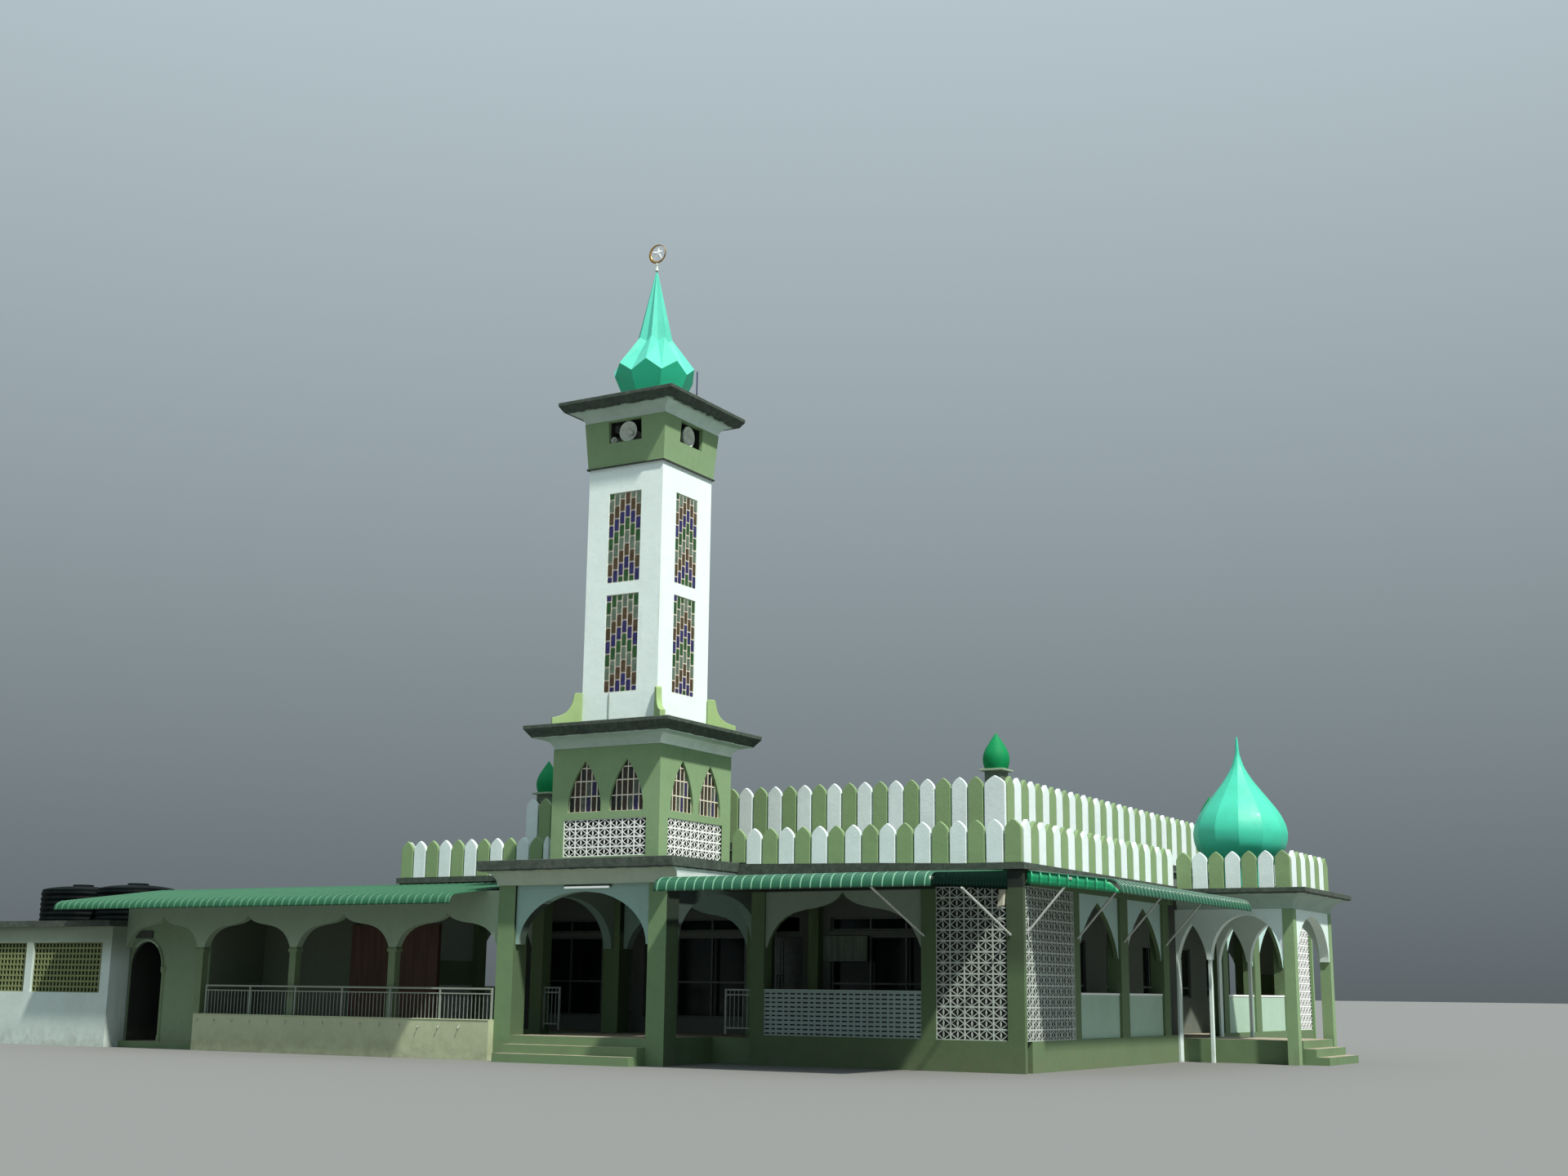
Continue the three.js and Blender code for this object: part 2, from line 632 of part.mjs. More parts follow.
function frontLeftArcade() {
  const y = [0, PIER_D];
  const screen = [SCREEN_IN, SCREEN_IN + SCREEN_T];
  const x0 = -BLOCK_W;
  const bay = [x0 + CORNER_W, x0 + CORNER_W + OGEE_BAY];
  const end = TOWER_X - PORCH_R - GAP;
  const parts = [
    box([x0, x0 + CORNER_W], [0, SIDE_COLUMN], [0, SLAB_Z0 - GAP]),
    box([x0 + SCREEN_T + GAP + 5, x0 + CORNER_W], [0, CORNER_W], [0, SLAB_Z0 - GAP]),
    box([x0 + SCREEN_T + GAP + 5, end], y, [BEAM_Z, SLAB_Z0 - GAP]),
    box([x0 + SCREEN_T + GAP + 5, bay[1] + PIER_W], y, [0, PLINTH_Z]),
    frontPier(bay[1], bay[1] + PIER_W, y),
    frontBay(bay[0], bay[1], screen, false),
  ];
  return cut(join(parts), [porchRoof(GAP)]);
}

// The rear repeats the front: vent bays at the ends and three ogee bays between
function rearArcade() {
  const y = [BLOCK_D - PIER_D, BLOCK_D];
  const screen = [BLOCK_D - SCREEN_IN - SCREEN_T, BLOCK_D - SCREEN_IN];
  const inset = SCREEN_T + GAP + 5;
  const parts = [
    box([-BLOCK_W + inset, -inset], y, [BEAM_Z, SLAB_Z0 - GAP]),
    box([-BLOCK_W + inset, -inset], y, [0, PLINTH_Z]),
  ];
  for (const [a, b] of [[-CORNER_W, 0], [-BLOCK_W, -BLOCK_W + CORNER_W]]) {
    parts.push(box([a, b], [BLOCK_D - SIDE_COLUMN, BLOCK_D], [0, SLAB_Z0 - GAP]));
    const inner = a === -CORNER_W ? [a, b - inset] : [a + inset, b];
    parts.push(box(inner, [BLOCK_D - CORNER_W, BLOCK_D], [0, SLAB_Z0 - GAP]));
  }
  const first = -CORNER_W - VENT_BAY - PIER_W;
  const step = (BLOCK_W - 2 * (CORNER_W + VENT_BAY) - PIER_W) / 3;
  for (let i = 0; i < 4; i++) {
    const x = first - i * step;
    parts.push(frontPier(x, x + PIER_W, y));
    if (i < 3) parts.push(frontBay(x - step + PIER_W, x, screen, true));
  }
  const slabZ = [PLINTH_Z - 1, BEAM_Z + 1];
  parts.push(box([-CORNER_W - VENT_BAY - 1, -CORNER_W + 1], screen, slabZ));
  parts.push(box([-BLOCK_W + CORNER_W - 1, -BLOCK_W + CORNER_W + VENT_BAY + 1], screen, slabZ));
  return join(parts);
}

// One stretch of a long side: vent bay next to the corner, then lancet bays between piers.
// side is +1 on the right and -1 on the left; turn mirrors it front to rear.
function sideArcade(side, turn, last, withVent) {
  const inwards = (a, b) => (side > 0 ? [-b, -a] : [-BLOCK_W + a, -BLOCK_W + b]);
  const px = inwards(0, PIER_D);
  const sx = inwards(SCREEN_IN, SCREEN_IN + SCREEN_T);
  const span = (a, b) => (turn ? [BLOCK_D - b, BLOCK_D - a] : [a, b]);
  const start = CORNER_W + GAP;
  const parts = [
    box(px, span(start, last), [BEAM_Z, SLAB_Z0 - GAP]),
    box(px, span(start, last), [0, PLINTH_Z]),
  ];
  for (const [a, b] of SIDE_PIERS) parts.push(box(px, span(a, b), [0, BEAM_Z + 1]));
  const bays = [[SIDE_PIERS[0][1], SIDE_PIERS[1][0]], [SIDE_PIERS[1][1], SIDE_PIERS[2][0]]];
  for (const bay of bays) {
    const [a, b] = span(...bay);
    parts.push(...lancetBay(sx, a, b));
  }
  if (withVent) parts.push(box(sx, span(start, SIDE_VENT_END + 1), [PLINTH_Z - 1, BEAM_Z + 1]));
  return join(parts);
}

// Arched infill and dado of one lancet bay
function lancetBay(sx, a, b) {
  const infill = sidePlate(rect(a - 1, b + 1, [LANCET_FOOT, BEAM_Z + 1]), sx);
  const shape = lancet(a + 30, b - 30, LANCET_FOOT - 1, LANCET_FOOT, LANCET_TOP);
  const arch = sidePlate(shape, [sx[0] - 5, sx[1] + 5], 6);
  return [infill.subtract(arch), box(sx, [a - 1, b + 1], [PLINTH_Z - 1, DADO_Z])];
}

function rightArcade(turn) {
  const last = turn ? BLOCK_D - DOME_PORCH_Y[1] : DOME_PORCH_Y[0];
  return sideArcade(1, turn, last, turn);
}

function leftArcade() {
  const half = BLOCK_D / 2;
  const px = [-BLOCK_W, -BLOCK_W + PIER_D];
  const sx = [-BLOCK_W + SCREEN_IN, -BLOCK_W + SCREEN_IN + SCREEN_T];
  const bay = [SIDE_PIERS[2][1], BLOCK_D - SIDE_PIERS[2][1]];
  const pier = [half - 165, half + 165];
  return join([
    sideArcade(-1, false, half + 1, true),
    sideArcade(-1, true, half + 1, true),
    box(px, pier, [0, BEAM_Z + 1]),
    ...lancetBay(sx, bay[0], pier[0]),
    ...lancetBay(sx, pier[1], bay[1]),
  ]);
}

// Vent-block panels that show at the near corner

function frontVentPanel() {
  const x = [-CORNER_W - VENT_BAY + GAP, -CORNER_W - GAP];
  return box(x, [20, 20 + SCREEN_T], [PLINTH_Z + GAP, BEAM_Z - GAP]);
}

function rightVentPanel() {
  return box([-SCREEN_T, 0], [SIDE_COLUMN + GAP, SIDE_VENT_END - GAP], [PLINTH_Z + GAP, BEAM_Z - GAP]);
}

// Domed porch on the right side

function domePorchArcade() {
  const t = 230;
  const column = 260;
  const x = [GAP, DOME_PORCH_X];
  const [y0, y1] = DOME_PORCH_Y;
  const foot = 2400;
  const inner = DOME_PORCH_X - column;
  const parts = [];
  for (const y of [[y0, y0 + column], [y1 - column, y1]]) {
    parts.push(box([inner, DOME_PORCH_X], y, [0, DOME_PORCH_TOP]));
  }
  for (const y of [[y0 + 15, y0 + 15 + t], [y1 - 15 - t, y1 - 15]]) {
    const wall = frontPlate(rect(x[0], inner + 1, [foot, DOME_PORCH_TOP]), y);
    const big = frontPlate(round(860, inner - 40, foot - 1, foot, 3440), [y[0] - 5, y[1] + 5], 12);
    const small = frontPlate(lancet(40, 765, foot - 1, foot, 3265), [y[0] - 5, y[1] + 5], 6);
    parts.push(cut(wall, [big, small]));
    parts.push(box([x[0], 50], y, [0, foot + 1]));
    parts.push(box([775, 845], [y[0] + 55, y[1] - 55], [0, foot + 1]));
  }
  const side = [DOME_PORCH_X - 15 - t, DOME_PORCH_X - 15];
  const sideWall = sidePlate(rect(y0 + column - 1, y1 - column + 1, [foot, DOME_PORCH_TOP]), side);
  const sideArch = round(y0 + column + 60, y1 - column - 60, foot - 1, foot, 3450);
  parts.push(sideWall.subtract(sidePlate(sideArch, [side[0] - 5, side[1] + 5], 14)));
  return join(parts);
}

function domePorchRoof() {
  const out = DOME_SLAB_OUT;
  const [y0, y1] = DOME_PORCH_Y;
  const z0 = DOME_PORCH_TOP + GAP;
  const edge = SLAB_EDGE + GAP;
  const parts = [box([edge, DOME_PORCH_X + out], [y0 - out, y1 + out], DOME_SLAB_Z)];
  const steps = cove(0, z0, out - 70, DOME_SLAB_Z[0] + 1);
  for (let i = 0; i + 1 < steps.length; i++) {
    const reach = (steps[i][0] + steps[i + 1][0]) / 2;
    const z = [steps[i][1], DOME_SLAB_Z[0] + 1];
    parts.push(box([edge, DOME_PORCH_X + reach], [y0 - reach, y1 + reach], z));
  }
  const room = box([edge + 300, DOME_PORCH_X - 260], [y0 + 260, y1 - 260], [z0 - 1, DOME_SLAB_Z[0]]);
  return join(parts).subtract(room);
}

function smallDome(x, y) {
  const z = HALL_ROOF_Z1 + GAP;
  const post = box([x - 200, x + 200], [y - 200, y + 200], [z, 6461]);
  const cap = box([x - 290, x + 290], [y - 290, y + 290], [6460, 6520]);
  const curve = new THREE.CatmullRomCurve3([
    new THREE.Vector3(240, 6519, 0),
    new THREE.Vector3(283, 6620, 0),
    new THREE.Vector3(294, 6740, 0),
    new THREE.Vector3(222, 6944, 0),
    new THREE.Vector3(130, 7090, 0),
    new THREE.Vector3(45, 7200, 0),
    new THREE.Vector3(0, 7271, 0),
  ]);
  const points = [[0, 6519], ...curve.getPoints(7).map((p) => [Math.max(p.x, 0), p.y])];
  points[points.length - 1][0] = 0;
  return join([post, cap, turned(points, x, y, 12)]);
}

// The large onion dome, a shell turned from its outer curve and from every other point of it moved in
function bigDome() {
  const y = (DOME_PORCH_Y[0] + DOME_PORCH_Y[1]) / 2;
  const z0 = DOME_SLAB_Z[1] + GAP;
  const outer = [[720, z0], ...DOME_CURVE];
  const inner = outer.filter(([r], i) => r > 3 * DOME_T && i % 2 === 0).map(([r, z]) => [r - DOME_T, z]);
  const [top, apex] = [inner[inner.length - 1][1], outer[outer.length - 1][1]];
  return turned([inner[0], ...outer, [0, apex], [0, top], ...inner.reverse()], DOME_X, y, 24);
}

// Roofs

function verandahRoof() {
  const e = SLAB_EDGE;
  const slab = box([-BLOCK_W - e, e], [-e, BLOCK_D + e], [SLAB_Z0, SLAB_Z1]);
  const z = [SLAB_Z0 - 1, SLAB_Z1 + 1];
  const hallX = [-BLOCK_W + HALL_SIDE - GAP, -HALL_SIDE + GAP];
  const hall = box(hallX, [HALL_FRONT - GAP, BLOCK_D - HALL_FRONT + GAP], z);
  const r = PORCH_SLAB_R + GAP;
  return cut(slab, [hall, box([TOWER_X - r, TOWER_X + r], [-e - 1, TOWER_Y + r], z)]);
}

function hallRoof() {
  const side = UPPER_SIDE - 40;
  const front = UPPER_FRONT - 40;
  return box([-BLOCK_W + side, -side], [front, BLOCK_D - front], [HALL_ROOF_Z0, HALL_ROOF_Z1]);
}

// Parapets

function lowerRow(name) {
  const z = SLAB_Z1 + GAP;
  const right = TOWER_X + PORCH_SLAB_R;
  if (name === "front_right") {
    const made = rowAlongX(-17 * LOWER_PITCH, 0, 17, 0, -1, z, LOWER_TIP);
    return made.subtract(box([right - 400, right + GAP], [-10, 400], [z - 1, PORCH_SLAB_Z1 + GAP]));
  }
  const left = TOWER_X - PORCH_SLAB_R - 20;
  if (name === "front_left") return rowAlongX(-BLOCK_W, left, 11, 0, -1, z, LOWER_TIP);
  if (name === "rear") return rowAlongX(-BLOCK_W, 0, 41, BLOCK_D, 1, z, LOWER_TIP);
  return rowAlongY(MERLON_T + GAP, BLOCK_D - MERLON_T - GAP, 53, -BLOCK_W, -1, z, LOWER_TIP);
}

// The right row steps round the domed porch
function lowerRightRow() {
  const z = SLAB_Z1 + GAP;
  const zp = DOME_SLAB_Z[1] + GAP;
  const [y0, y1] = DOME_PORCH_Y;
  const a = MERLON_T + GAP;
  const link = (y) => box([-MERLON_T + 5, SLAB_EDGE + 60], y, [z + 5, z + KERB_H - 5]);
  const side = [y0 + MERLON_T / 2, y1 - MERLON_T / 2];
  return join([
    rowAlongY(a, y0 + 30, RIGHT_NEAR_COUNT, 0, 1, z, LOWER_TIP),
    link([y0 + 10, y0 + MERLON_T - 5]),
    rowAlongX(SLAB_EDGE + 2 * GAP, DOME_PORCH_X, 7, y0, -1, zp, DOME_PORCH_TIP),
    rowAlongY(side[0], side[1], 8, DOME_PORCH_X - 3, 1, zp + 3, DOME_PORCH_TIP),
    rowAlongX(SLAB_EDGE + 2 * GAP, DOME_PORCH_X, 7, y1, 1, zp, DOME_PORCH_TIP),
    link([y1 - MERLON_T + 5, y1 - 10]),
    rowAlongY(y1 - 30, BLOCK_D - a, RIGHT_NEAR_COUNT, 0, 1, z, LOWER_TIP),
  ]);
}

function upperRow(name) {
  const z = HALL_ROOF_Z1 + GAP;
  const x = [-BLOCK_W + UPPER_SIDE, -UPPER_SIDE];
  const y = [UPPER_FRONT, BLOCK_D - UPPER_FRONT];
  const a = MERLON_T + GAP;
  if (name === "front") return rowAlongX(x[0], x[1], 33, y[0], -1, z, UPPER_TIP);
  if (name === "rear") return rowAlongX(x[0], x[1], 33, y[1], 1, z, UPPER_TIP);
  if (name === "right") return rowAlongY(y[0] + a, y[1] - a, 39, x[1], 1, z, UPPER_TIP);
  return rowAlongY(y[0] + a, y[1] - a, 39, x[0], -1, z, UPPER_TIP);
}

// Hall walls

const HALL_X = [-BLOCK_W + HALL_SIDE, -HALL_SIDE];
const HALL_Y = [HALL_FRONT, BLOCK_D - HALL_FRONT];
const WALL_Z = [FLOOR_Z + GAP, HALL_ROOF_Z0 - GAP];

// Windows of a wall along X, between x0 and x1: tall panes below, upper lights above
function frontWindows(x0, x1, y) {
  const holes = [];
  const bay = 2350;
  const count = Math.max(1, Math.floor((x1 - x0) / bay));
  const step = (x1 - x0) / count;
  for (let i = 0; i < count; i++) {
    const a = x0 + i * step + 160;
    const b = x0 + (i + 1) * step - 160;
    holes.push(box([a, b], [y[0] - 5, y[1] + 5], [900, WINDOW_HEAD]));
    holes.push(box([a, b], [y[0] - 5, y[1] + 5], [LIGHT_SILL, LIGHT_HEAD]));
  }
  return holes;
}

function hallFrontLeft() {
  const y = [HALL_Y[0], HALL_Y[0] + WALL_T];
  const x = [HALL_X[0], DOOR_X - LEAF_W - 12];
  return cut(box(x, y, WALL_Z), frontWindows(x[0] + 300, x[1] - 100, y));
}

function hallFrontRight() {
  const y = [HALL_Y[0], HALL_Y[0] + WALL_T];
  const x = [DOOR_X + LEAF_W + 12, HALL_X[1]];
  return cut(box(x, y, WALL_Z), frontWindows(x[0] + 560, x[1] - 300, y));
}

function hallLintel() {
  const x = [DOOR_X - LEAF_W - 12 + GAP, DOOR_X + LEAF_W + 12 - GAP];
  const y = [HALL_Y[0], HALL_Y[0] + WALL_T];
  const light = box([x[0] + 100, x[1] - 100], [y[0] - 5, y[1] + 5], [LIGHT_SILL, LIGHT_HEAD]);
  return box(x, y, [FLOOR_Z + LEAF_H + 22, WALL_Z[1]]).subtract(light);
}

function hallRear() {
  const y = [HALL_Y[1] - WALL_T, HALL_Y[1]];
  return cut(box(HALL_X, y, WALL_Z), frontWindows(HALL_X[0] + 300, HALL_X[1] - 300, y));
}

function hallSide(side) {
  const x = side > 0 ? [HALL_X[1] - WALL_T, HALL_X[1]] : [HALL_X[0], HALL_X[0] + WALL_T];
  const y = [HALL_Y[0] + WALL_T + GAP, HALL_Y[1] - WALL_T - GAP];
  const count = 6;
  const step = (y[1] - y[0]) / count;
  const holes = [];
  for (let i = 0; i < count; i++) {
    const mid = y[0] + (i + 0.5) * step;
    holes.push(box([x[0] - 5, x[1] + 5], [mid - 600, mid + 600], [WINDOW_SILL, WINDOW_HEAD]));
  }
  return cut(box(x, y, WALL_Z), holes);
}

// One sheet of glass inside the hall walls, open at the doorway
function hallGlazing() {
  const t = 8;
  const z = [880, LIGHT_HEAD + 60];
  const x = [HALL_X[0] + WALL_T + GAP, HALL_X[1] - WALL_T - GAP];
  const y = [HALL_Y[0] + WALL_T + GAP, HALL_Y[1] - WALL_T - GAP];
  const ring = box(x, y, z).subtract(box([x[0] + t, x[1] - t], [y[0] + t, y[1] - t], [z[0] - 1, z[1] + 1]));
  const gap = box([DOOR_X - LEAF_W - 60, DOOR_X + LEAF_W + 60], [y[0] - 5, y[0] + 50], [z[0] - 1, z[1] + 1]);
  return ring.subtract(gap);
}

// A glazed leaf with a middle rail and a lower panel; side is -1 for the left leaf and +1 for the right
function doorLeaf(side) {
  const meet = DOOR_X + side * 5;
  const edge = DOOR_X + side * LEAF_W;
  const x = [Math.min(meet, edge), Math.max(meet, edge)];
  const y = [HALL_Y[0] + 90, HALL_Y[0] + 90 + LEAF_T];
  const z = [FLOOR_Z + 10, FLOOR_Z + 10 + LEAF_H];
  const frame = box(x, y, z);
  const upper = box([x[0] + 70, x[1] - 70], [y[0] - 5, y[1] + 5], [z[0] + 1180, z[1] - 90]);
  const lower = box([x[0] + 70, x[1] - 70], [y[0] - 5, y[1] + 5], [z[0] + 120, z[0] + 1080]);
  const pane = box([x[0] + 69, x[1] - 69], [y[0] + 18, y[0] + 27], [z[0] + 119, z[1] - 89]);
  return join([cut(frame, [upper, lower]), pane]);
}

// Canopies: a sheet that slopes gently out from under the slab and rolls down at its lip

// Side view of a canopy as [outward distance, height] from the wall
function canopySection(reach, wallZ, lipTop, lipLow, radius) {
  const shape = new THREE.Shape();
  const t = CANOPY_T;
  shape.moveTo(0, wallZ);
  shape.lineTo(reach - radius, lipTop);
  shape.quadraticCurveTo(reach, lipTop - 0.05 * radius, reach, lipLow);
  shape.lineTo(reach - t, lipLow);
  shape.quadraticCurveTo(reach - t, lipTop - t - 0.05 * radius, reach - radius, lipTop - t);
  shape.lineTo(0, wallZ - t);
  return shape;
}

// Purlin along the canopy and a raking strut at each wall point, in the canopy's own section plane
function strutPlate(out, topZ, footZ) {
  const w = 45;
  return outline([[-2, footZ], [out, topZ], [out, topZ + w], [-2, footZ + w]]);
}

// Sheet that hangs from the near end of the right canopy
function endSheet(wall, lip) {
  return [[wall, 3970], [wall, 3720], [lip - 10, 3501], [lip - 20, 3560], [lip - 260, 3770]];
}

function frontCanopy() {
  const wall = -SLAB_EDGE - GAP;
  const x = [FRONT_CANOPY_X0, -300];
  const reach = wall - FRONT_CANOPY_LIP;
  const section = canopySection(reach, 3990, 3820, 3560, 260);
  const sheet = section.getPoints(6).map((p) => [wall - p.x, p.y]);
  const parts = [sidePlate(outline(sheet.reverse()), x)];
  parts.push(box(x, [-2460, -2400], [3610, 3880]));
  const strut = strutPlate(2430, 3600, 2680).getPoints().map((p) => [-GAP - 2 - p.x, p.y]);
  for (const at of [-305, -2240, -6330]) {
    parts.push(sidePlate(outline([...strut].reverse()), [at, at + 45]));
  }
  return join(parts);
}

function rightCanopy() {
  const wall = SLAB_EDGE + GAP;
  const y = [80, DOME_PORCH_Y[0] - DOME_SLAB_OUT - 10];
  const reach = RIGHT_CANOPY_LIP - wall;
  const section = canopySection(reach, 3990, 3790, 3500, 260);
  const sheet = section.getPoints(6).map((p) => [wall + p.x, p.y]);
  const parts = [frontPlate(outline(sheet), y)];
  parts.push(box([960, 1020], y, [3640, 3900]));
  parts.push(frontPlate(outline(endSheet(wall, RIGHT_CANOPY_LIP)), [y[0], y[0] + 20]));
  for (const at of [100, 2880, 5700, 8550]) {
    const strut = strutPlate(990, 3625, 2690).getPoints().map((p) => [GAP + 2 + p.x, p.y]);
    parts.push(frontPlate(outline(strut), [at, at + 45]));
  }
  return join(parts);
}

// Left wing

function wingFloor() {
  return box([WING_X[0], WING_X[1] - GAP], [WING_FRONT, -GAP - SLAB_EDGE], [0, WING_FLOOR]);
}

function wingPosts() {
  const posts = [];
  for (let i = 0; i < 3; i++) {
    const x = WING_X[1] - (i + 1) * WING_PITCH;
    posts.push([x - WING_POST / 2, x + WING_POST / 2]);
  }
  return posts;
}

// Underside of the wing's roof sheet at a given y
function wingRoofUnder(y) {
  const reach = -SLAB_EDGE - GAP - 5 - WING_LIP;
  const slope = (WING_ROOF_Z[0] - WING_ROOF_Z[1]) / (reach - WING_LIP_R);
  return WING_ROOF_Z[0] + (y + SLAB_EDGE + GAP + 5) * slope - CANOPY_T - 2 * GAP;
}

function wingArcade() {
  const y = [WING_FRONT, WING_FRONT + 180];
  const top = wingRoofUnder(y[0]);
  const middles = wingPosts().map(([a, b]) => (a + b) / 2);
  const edges = [WING_X[0] - 150, ...middles.reverse(), WING_X[1] - GAP];
  const wall = frontPlate(rect(WING_X[0] + GAP, WING_X[1] - GAP, [WING_FOOT, top]), y);
  const holes = [];
  for (let i = 0; i < 4; i++) {
    const a = edges[i] + (i === 0 ? 170 : WING_POST / 2 + 10);
    const b = edges[i + 1] - (i === 3 ? 40 : WING_POST / 2 + 10);
    holes.push(frontPlate(ogee(a, b, WING_FOOT - 1, WING_FOOT, WING_APEX), [y[0] - 5, y[1] + 5], 6));
  }
  const parts = [cut(wall, holes)];
  for (const x of wingPosts()) parts.push(box(x, y, [WING_FLOOR + GAP, WING_FOOT + 1]));
  return join(parts);
}

// The wing's rear wall, and the short wall with an arched doorway across its first bay
function wingWalls() {
  const z0 = WING_FLOOR + GAP;
  const rearY = [-230, -80];
  const doorY = [WING_FRONT + 180 + GAP, WING_FRONT + 300];
  const x = [WING_X[0] + GAP, WING_X[0] + 2800];
  const rear = box([x[0], -BLOCK_W - SLAB_EDGE - GAP], rearY, [z0, wingRoofUnder(rearY[0])]);
  const doorWall = frontPlate(rect(x[0], x[1], [z0, wingRoofUnder(doorY[0])]), doorY);
  const doorway = round(WING_X[0] + 20, WING_X[0] + 1150, z0 - 1, 1960, 2580);
  const back = box([x[1] - 120, x[1]], [doorY[0], rearY[0] + 1], [z0, wingRoofUnder(doorY[0])]);
  return join([rear, doorWall.subtract(frontPlate(doorway, [doorY[0] - 5, doorY[1] + 5], 12)), back]);
}

// Washing counter with a railing on it
function counter() {
  const x = [wingPosts()[2][1] + 70, WING_X[1] - GAP];
  const y = [WING_FRONT - 240, WING_FRONT - GAP];
  const parts = [box(x, y, [0, 840])];
  const rail = [y[1] - 90, y[1] - 50];
  parts.push(box([x[0] + 200, x[1] - 50], rail, [1500, 1540]));
  parts.push(box([x[0] + 200, x[1] - 50], rail, [1400, 1425]));
  const count = 6;
  const step = (x[1] - x[0] - 250 - 40) / count;
  for (let i = 0; i <= count; i++) {
    const at = x[0] + 200 + i * step;
    parts.push(box([at, at + 40], [rail[0] + 2, rail[1] - 2], [839, 1501]));
  }
  return join(parts);
}

function wingRoof() {
  const x = [WING_ROOF_X0, TOWER_X - PORCH_SLAB_R - 15];
  const wall = -SLAB_EDGE - GAP - 5;
  const section = canopySection(wall - WING_LIP, WING_ROOF_Z[0], WING_ROOF_Z[1], 3320, WING_LIP_R);
  const sheet = section.getPoints(6).map((p) => [wall - p.x, p.y]);
  return sidePlate(outline(sheet.reverse()), x);
}

function toiletBlock() {
  const t = 150;
  const z = [0, WC_WALL_TOP];
  const room = box([WC_X[0] + t, WC_X[1] - t], [WC_Y[0] + t, WC_Y[1] - t], [-1, z[1] + 1]);
  const shell = box(WC_X, WC_Y, z).subtract(room);
  const holes = [];
  const windows = [[-26350, -23750], [-29150, -26600]];
  for (const [a, b] of windows) holes.push(box([a, b], [WC_Y[0] - 5, WC_Y[0] + t + 5], [1310, 2540]));
  return cut(shell, holes);
}

function toiletGrille() {
  return box([WC_X[0] + 150 + GAP, WC_X[1] - 150 - GAP], [WC_Y[0] + 150 + GAP, WC_Y[0] + 210], [1260, 2600]);
}

function toiletRoof() {
  return box([WC_X[0], WC_X[1]], [WC_Y[0] - 120, WC_Y[1]], [WC_WALL_TOP + GAP, WC_ROOF_TOP]);
}

// Ribbed round tank with a domed lid and a filler neck
function waterTank(x, r) {
  const z = WC_ROOF_TOP + GAP;
  const side = [[0, z], [r - 30, z], [r, z + 40], [r, z + 900], [r - 80, z + 970]];
  return turned([...side, [280, z + 1060], [260, z + 1110], [0, z + 1110]], x, 350, 20);
}

place("raised_floor", raisedFloor(), "tile");
place("front_right_arcade", frontRightArcade(), "olive");
place("front_left_arcade", frontLeftArcade(), "olive");
place("right_front_arcade", rightArcade(false), "olive");
place("right_rear_arcade", rightArcade(true), "olive");
place("left_arcade", leftArcade(), "olive");
place("rear_arcade", rearArcade(), "olive");
place("front_vent_panel", frontVentPanel(), "white");
place("right_vent_panel", rightVentPanel(), "white");
place("verandah_roof", verandahRoof(), "slab");

place("porch_arcade", porchArcade(), "white");
place("porch_roof", porchRoof(0), "cove");
place("tower_base", towerBase(), "olive");
const BASE_IN = BASE_R - BASE_WALL - GAP;
place("tower_base_screens", liner(BASE_IN, [PORCH_SLAB_Z1 + GAP, BASE_TOP - 100], 40), "white");
place("tower_mid_slab", midSlab(), "cove");
place("minaret_shaft", shaft(), "white");
const SHAFT_IN = SHAFT_R - SHAFT_WALL - GAP;
place("shaft_glass", liner(SHAFT_IN, [MID_SLAB_Z[1] + GAP, SHAFT_TOP - 300], 30), "coloured");
place("belfry", belfry(), "olive");
place("loudspeakers", loudspeakers(), "steel");
place("belfry_roof", topSlab(), "cove");
place("spire", spire(), "mint");
place("crescent_finial", finial(), "gold");

place("hall_front_wall_left", hallFrontLeft(), "white");
place("hall_front_wall_right", hallFrontRight(), "white");
place("hall_door_lintel", hallLintel(), "white");
place("hall_right_wall", hallSide(1), "white");
place("hall_left_wall", hallSide(-1), "white");
place("hall_rear_wall", hallRear(), "white");
place("hall_glazing", hallGlazing(), "glass");
place("hall_door_left", doorLeaf(-1), "steel");
place("hall_door_right", doorLeaf(1), "steel");
place("hall_roof", hallRoof(), "slab");

place("lower_parapet_front_right", lowerRow("front_right"), "olive");
place("lower_parapet_front_left", lowerRow("front_left"), "olive");
place("lower_parapet_left", lowerRow("left"), "olive");
place("lower_parapet_rear", lowerRow("rear"), "olive");
place("lower_parapet_right", lowerRightRow(), "olive");
for (const side of ["front", "right", "left", "rear"]) {
  place("upper_parapet_" + side, upperRow(side), "white");
}

const DOME_SIDE = UPPER_SIDE + 384;
const DOME_FRONT = UPPER_FRONT + 384;
place("small_dome_front_right", smallDome(-DOME_SIDE, DOME_FRONT), "emerald");
place("small_dome_front_left", smallDome(-BLOCK_W + DOME_SIDE, DOME_FRONT), "emerald");
place("small_dome_rear_right", smallDome(-DOME_SIDE, BLOCK_D - DOME_FRONT), "emerald");
place("small_dome_rear_left", smallDome(-BLOCK_W + DOME_SIDE, BLOCK_D - DOME_FRONT), "emerald");

place("domed_porch_arcade", domePorchArcade(), "white");
place("domed_porch_roof", domePorchRoof(), "cove");
place("domed_porch_dome", bigDome(), "mint");

place("front_canopy", frontCanopy(), "sheet");
place("right_canopy", rightCanopy(), "sheet");

place("wing_floor", wingFloor(), "tile");
place("wing_arcade", wingArcade(), "white");
place("wing_walls", wingWalls(), "white");
place("washing_counter", counter(), "cove");
place("wing_roof", wingRoof(), "sheet");
place("toilet_block", toiletBlock(), "white");
place("toilet_block_grille", toiletGrille(), "olive");
place("toilet_block_roof", toiletRoof(), "slab");
place("water_tank_left", waterTank(-28300, 1080), "tank");
place("water_tank_right", waterTank(-26100, 1050), "tank");

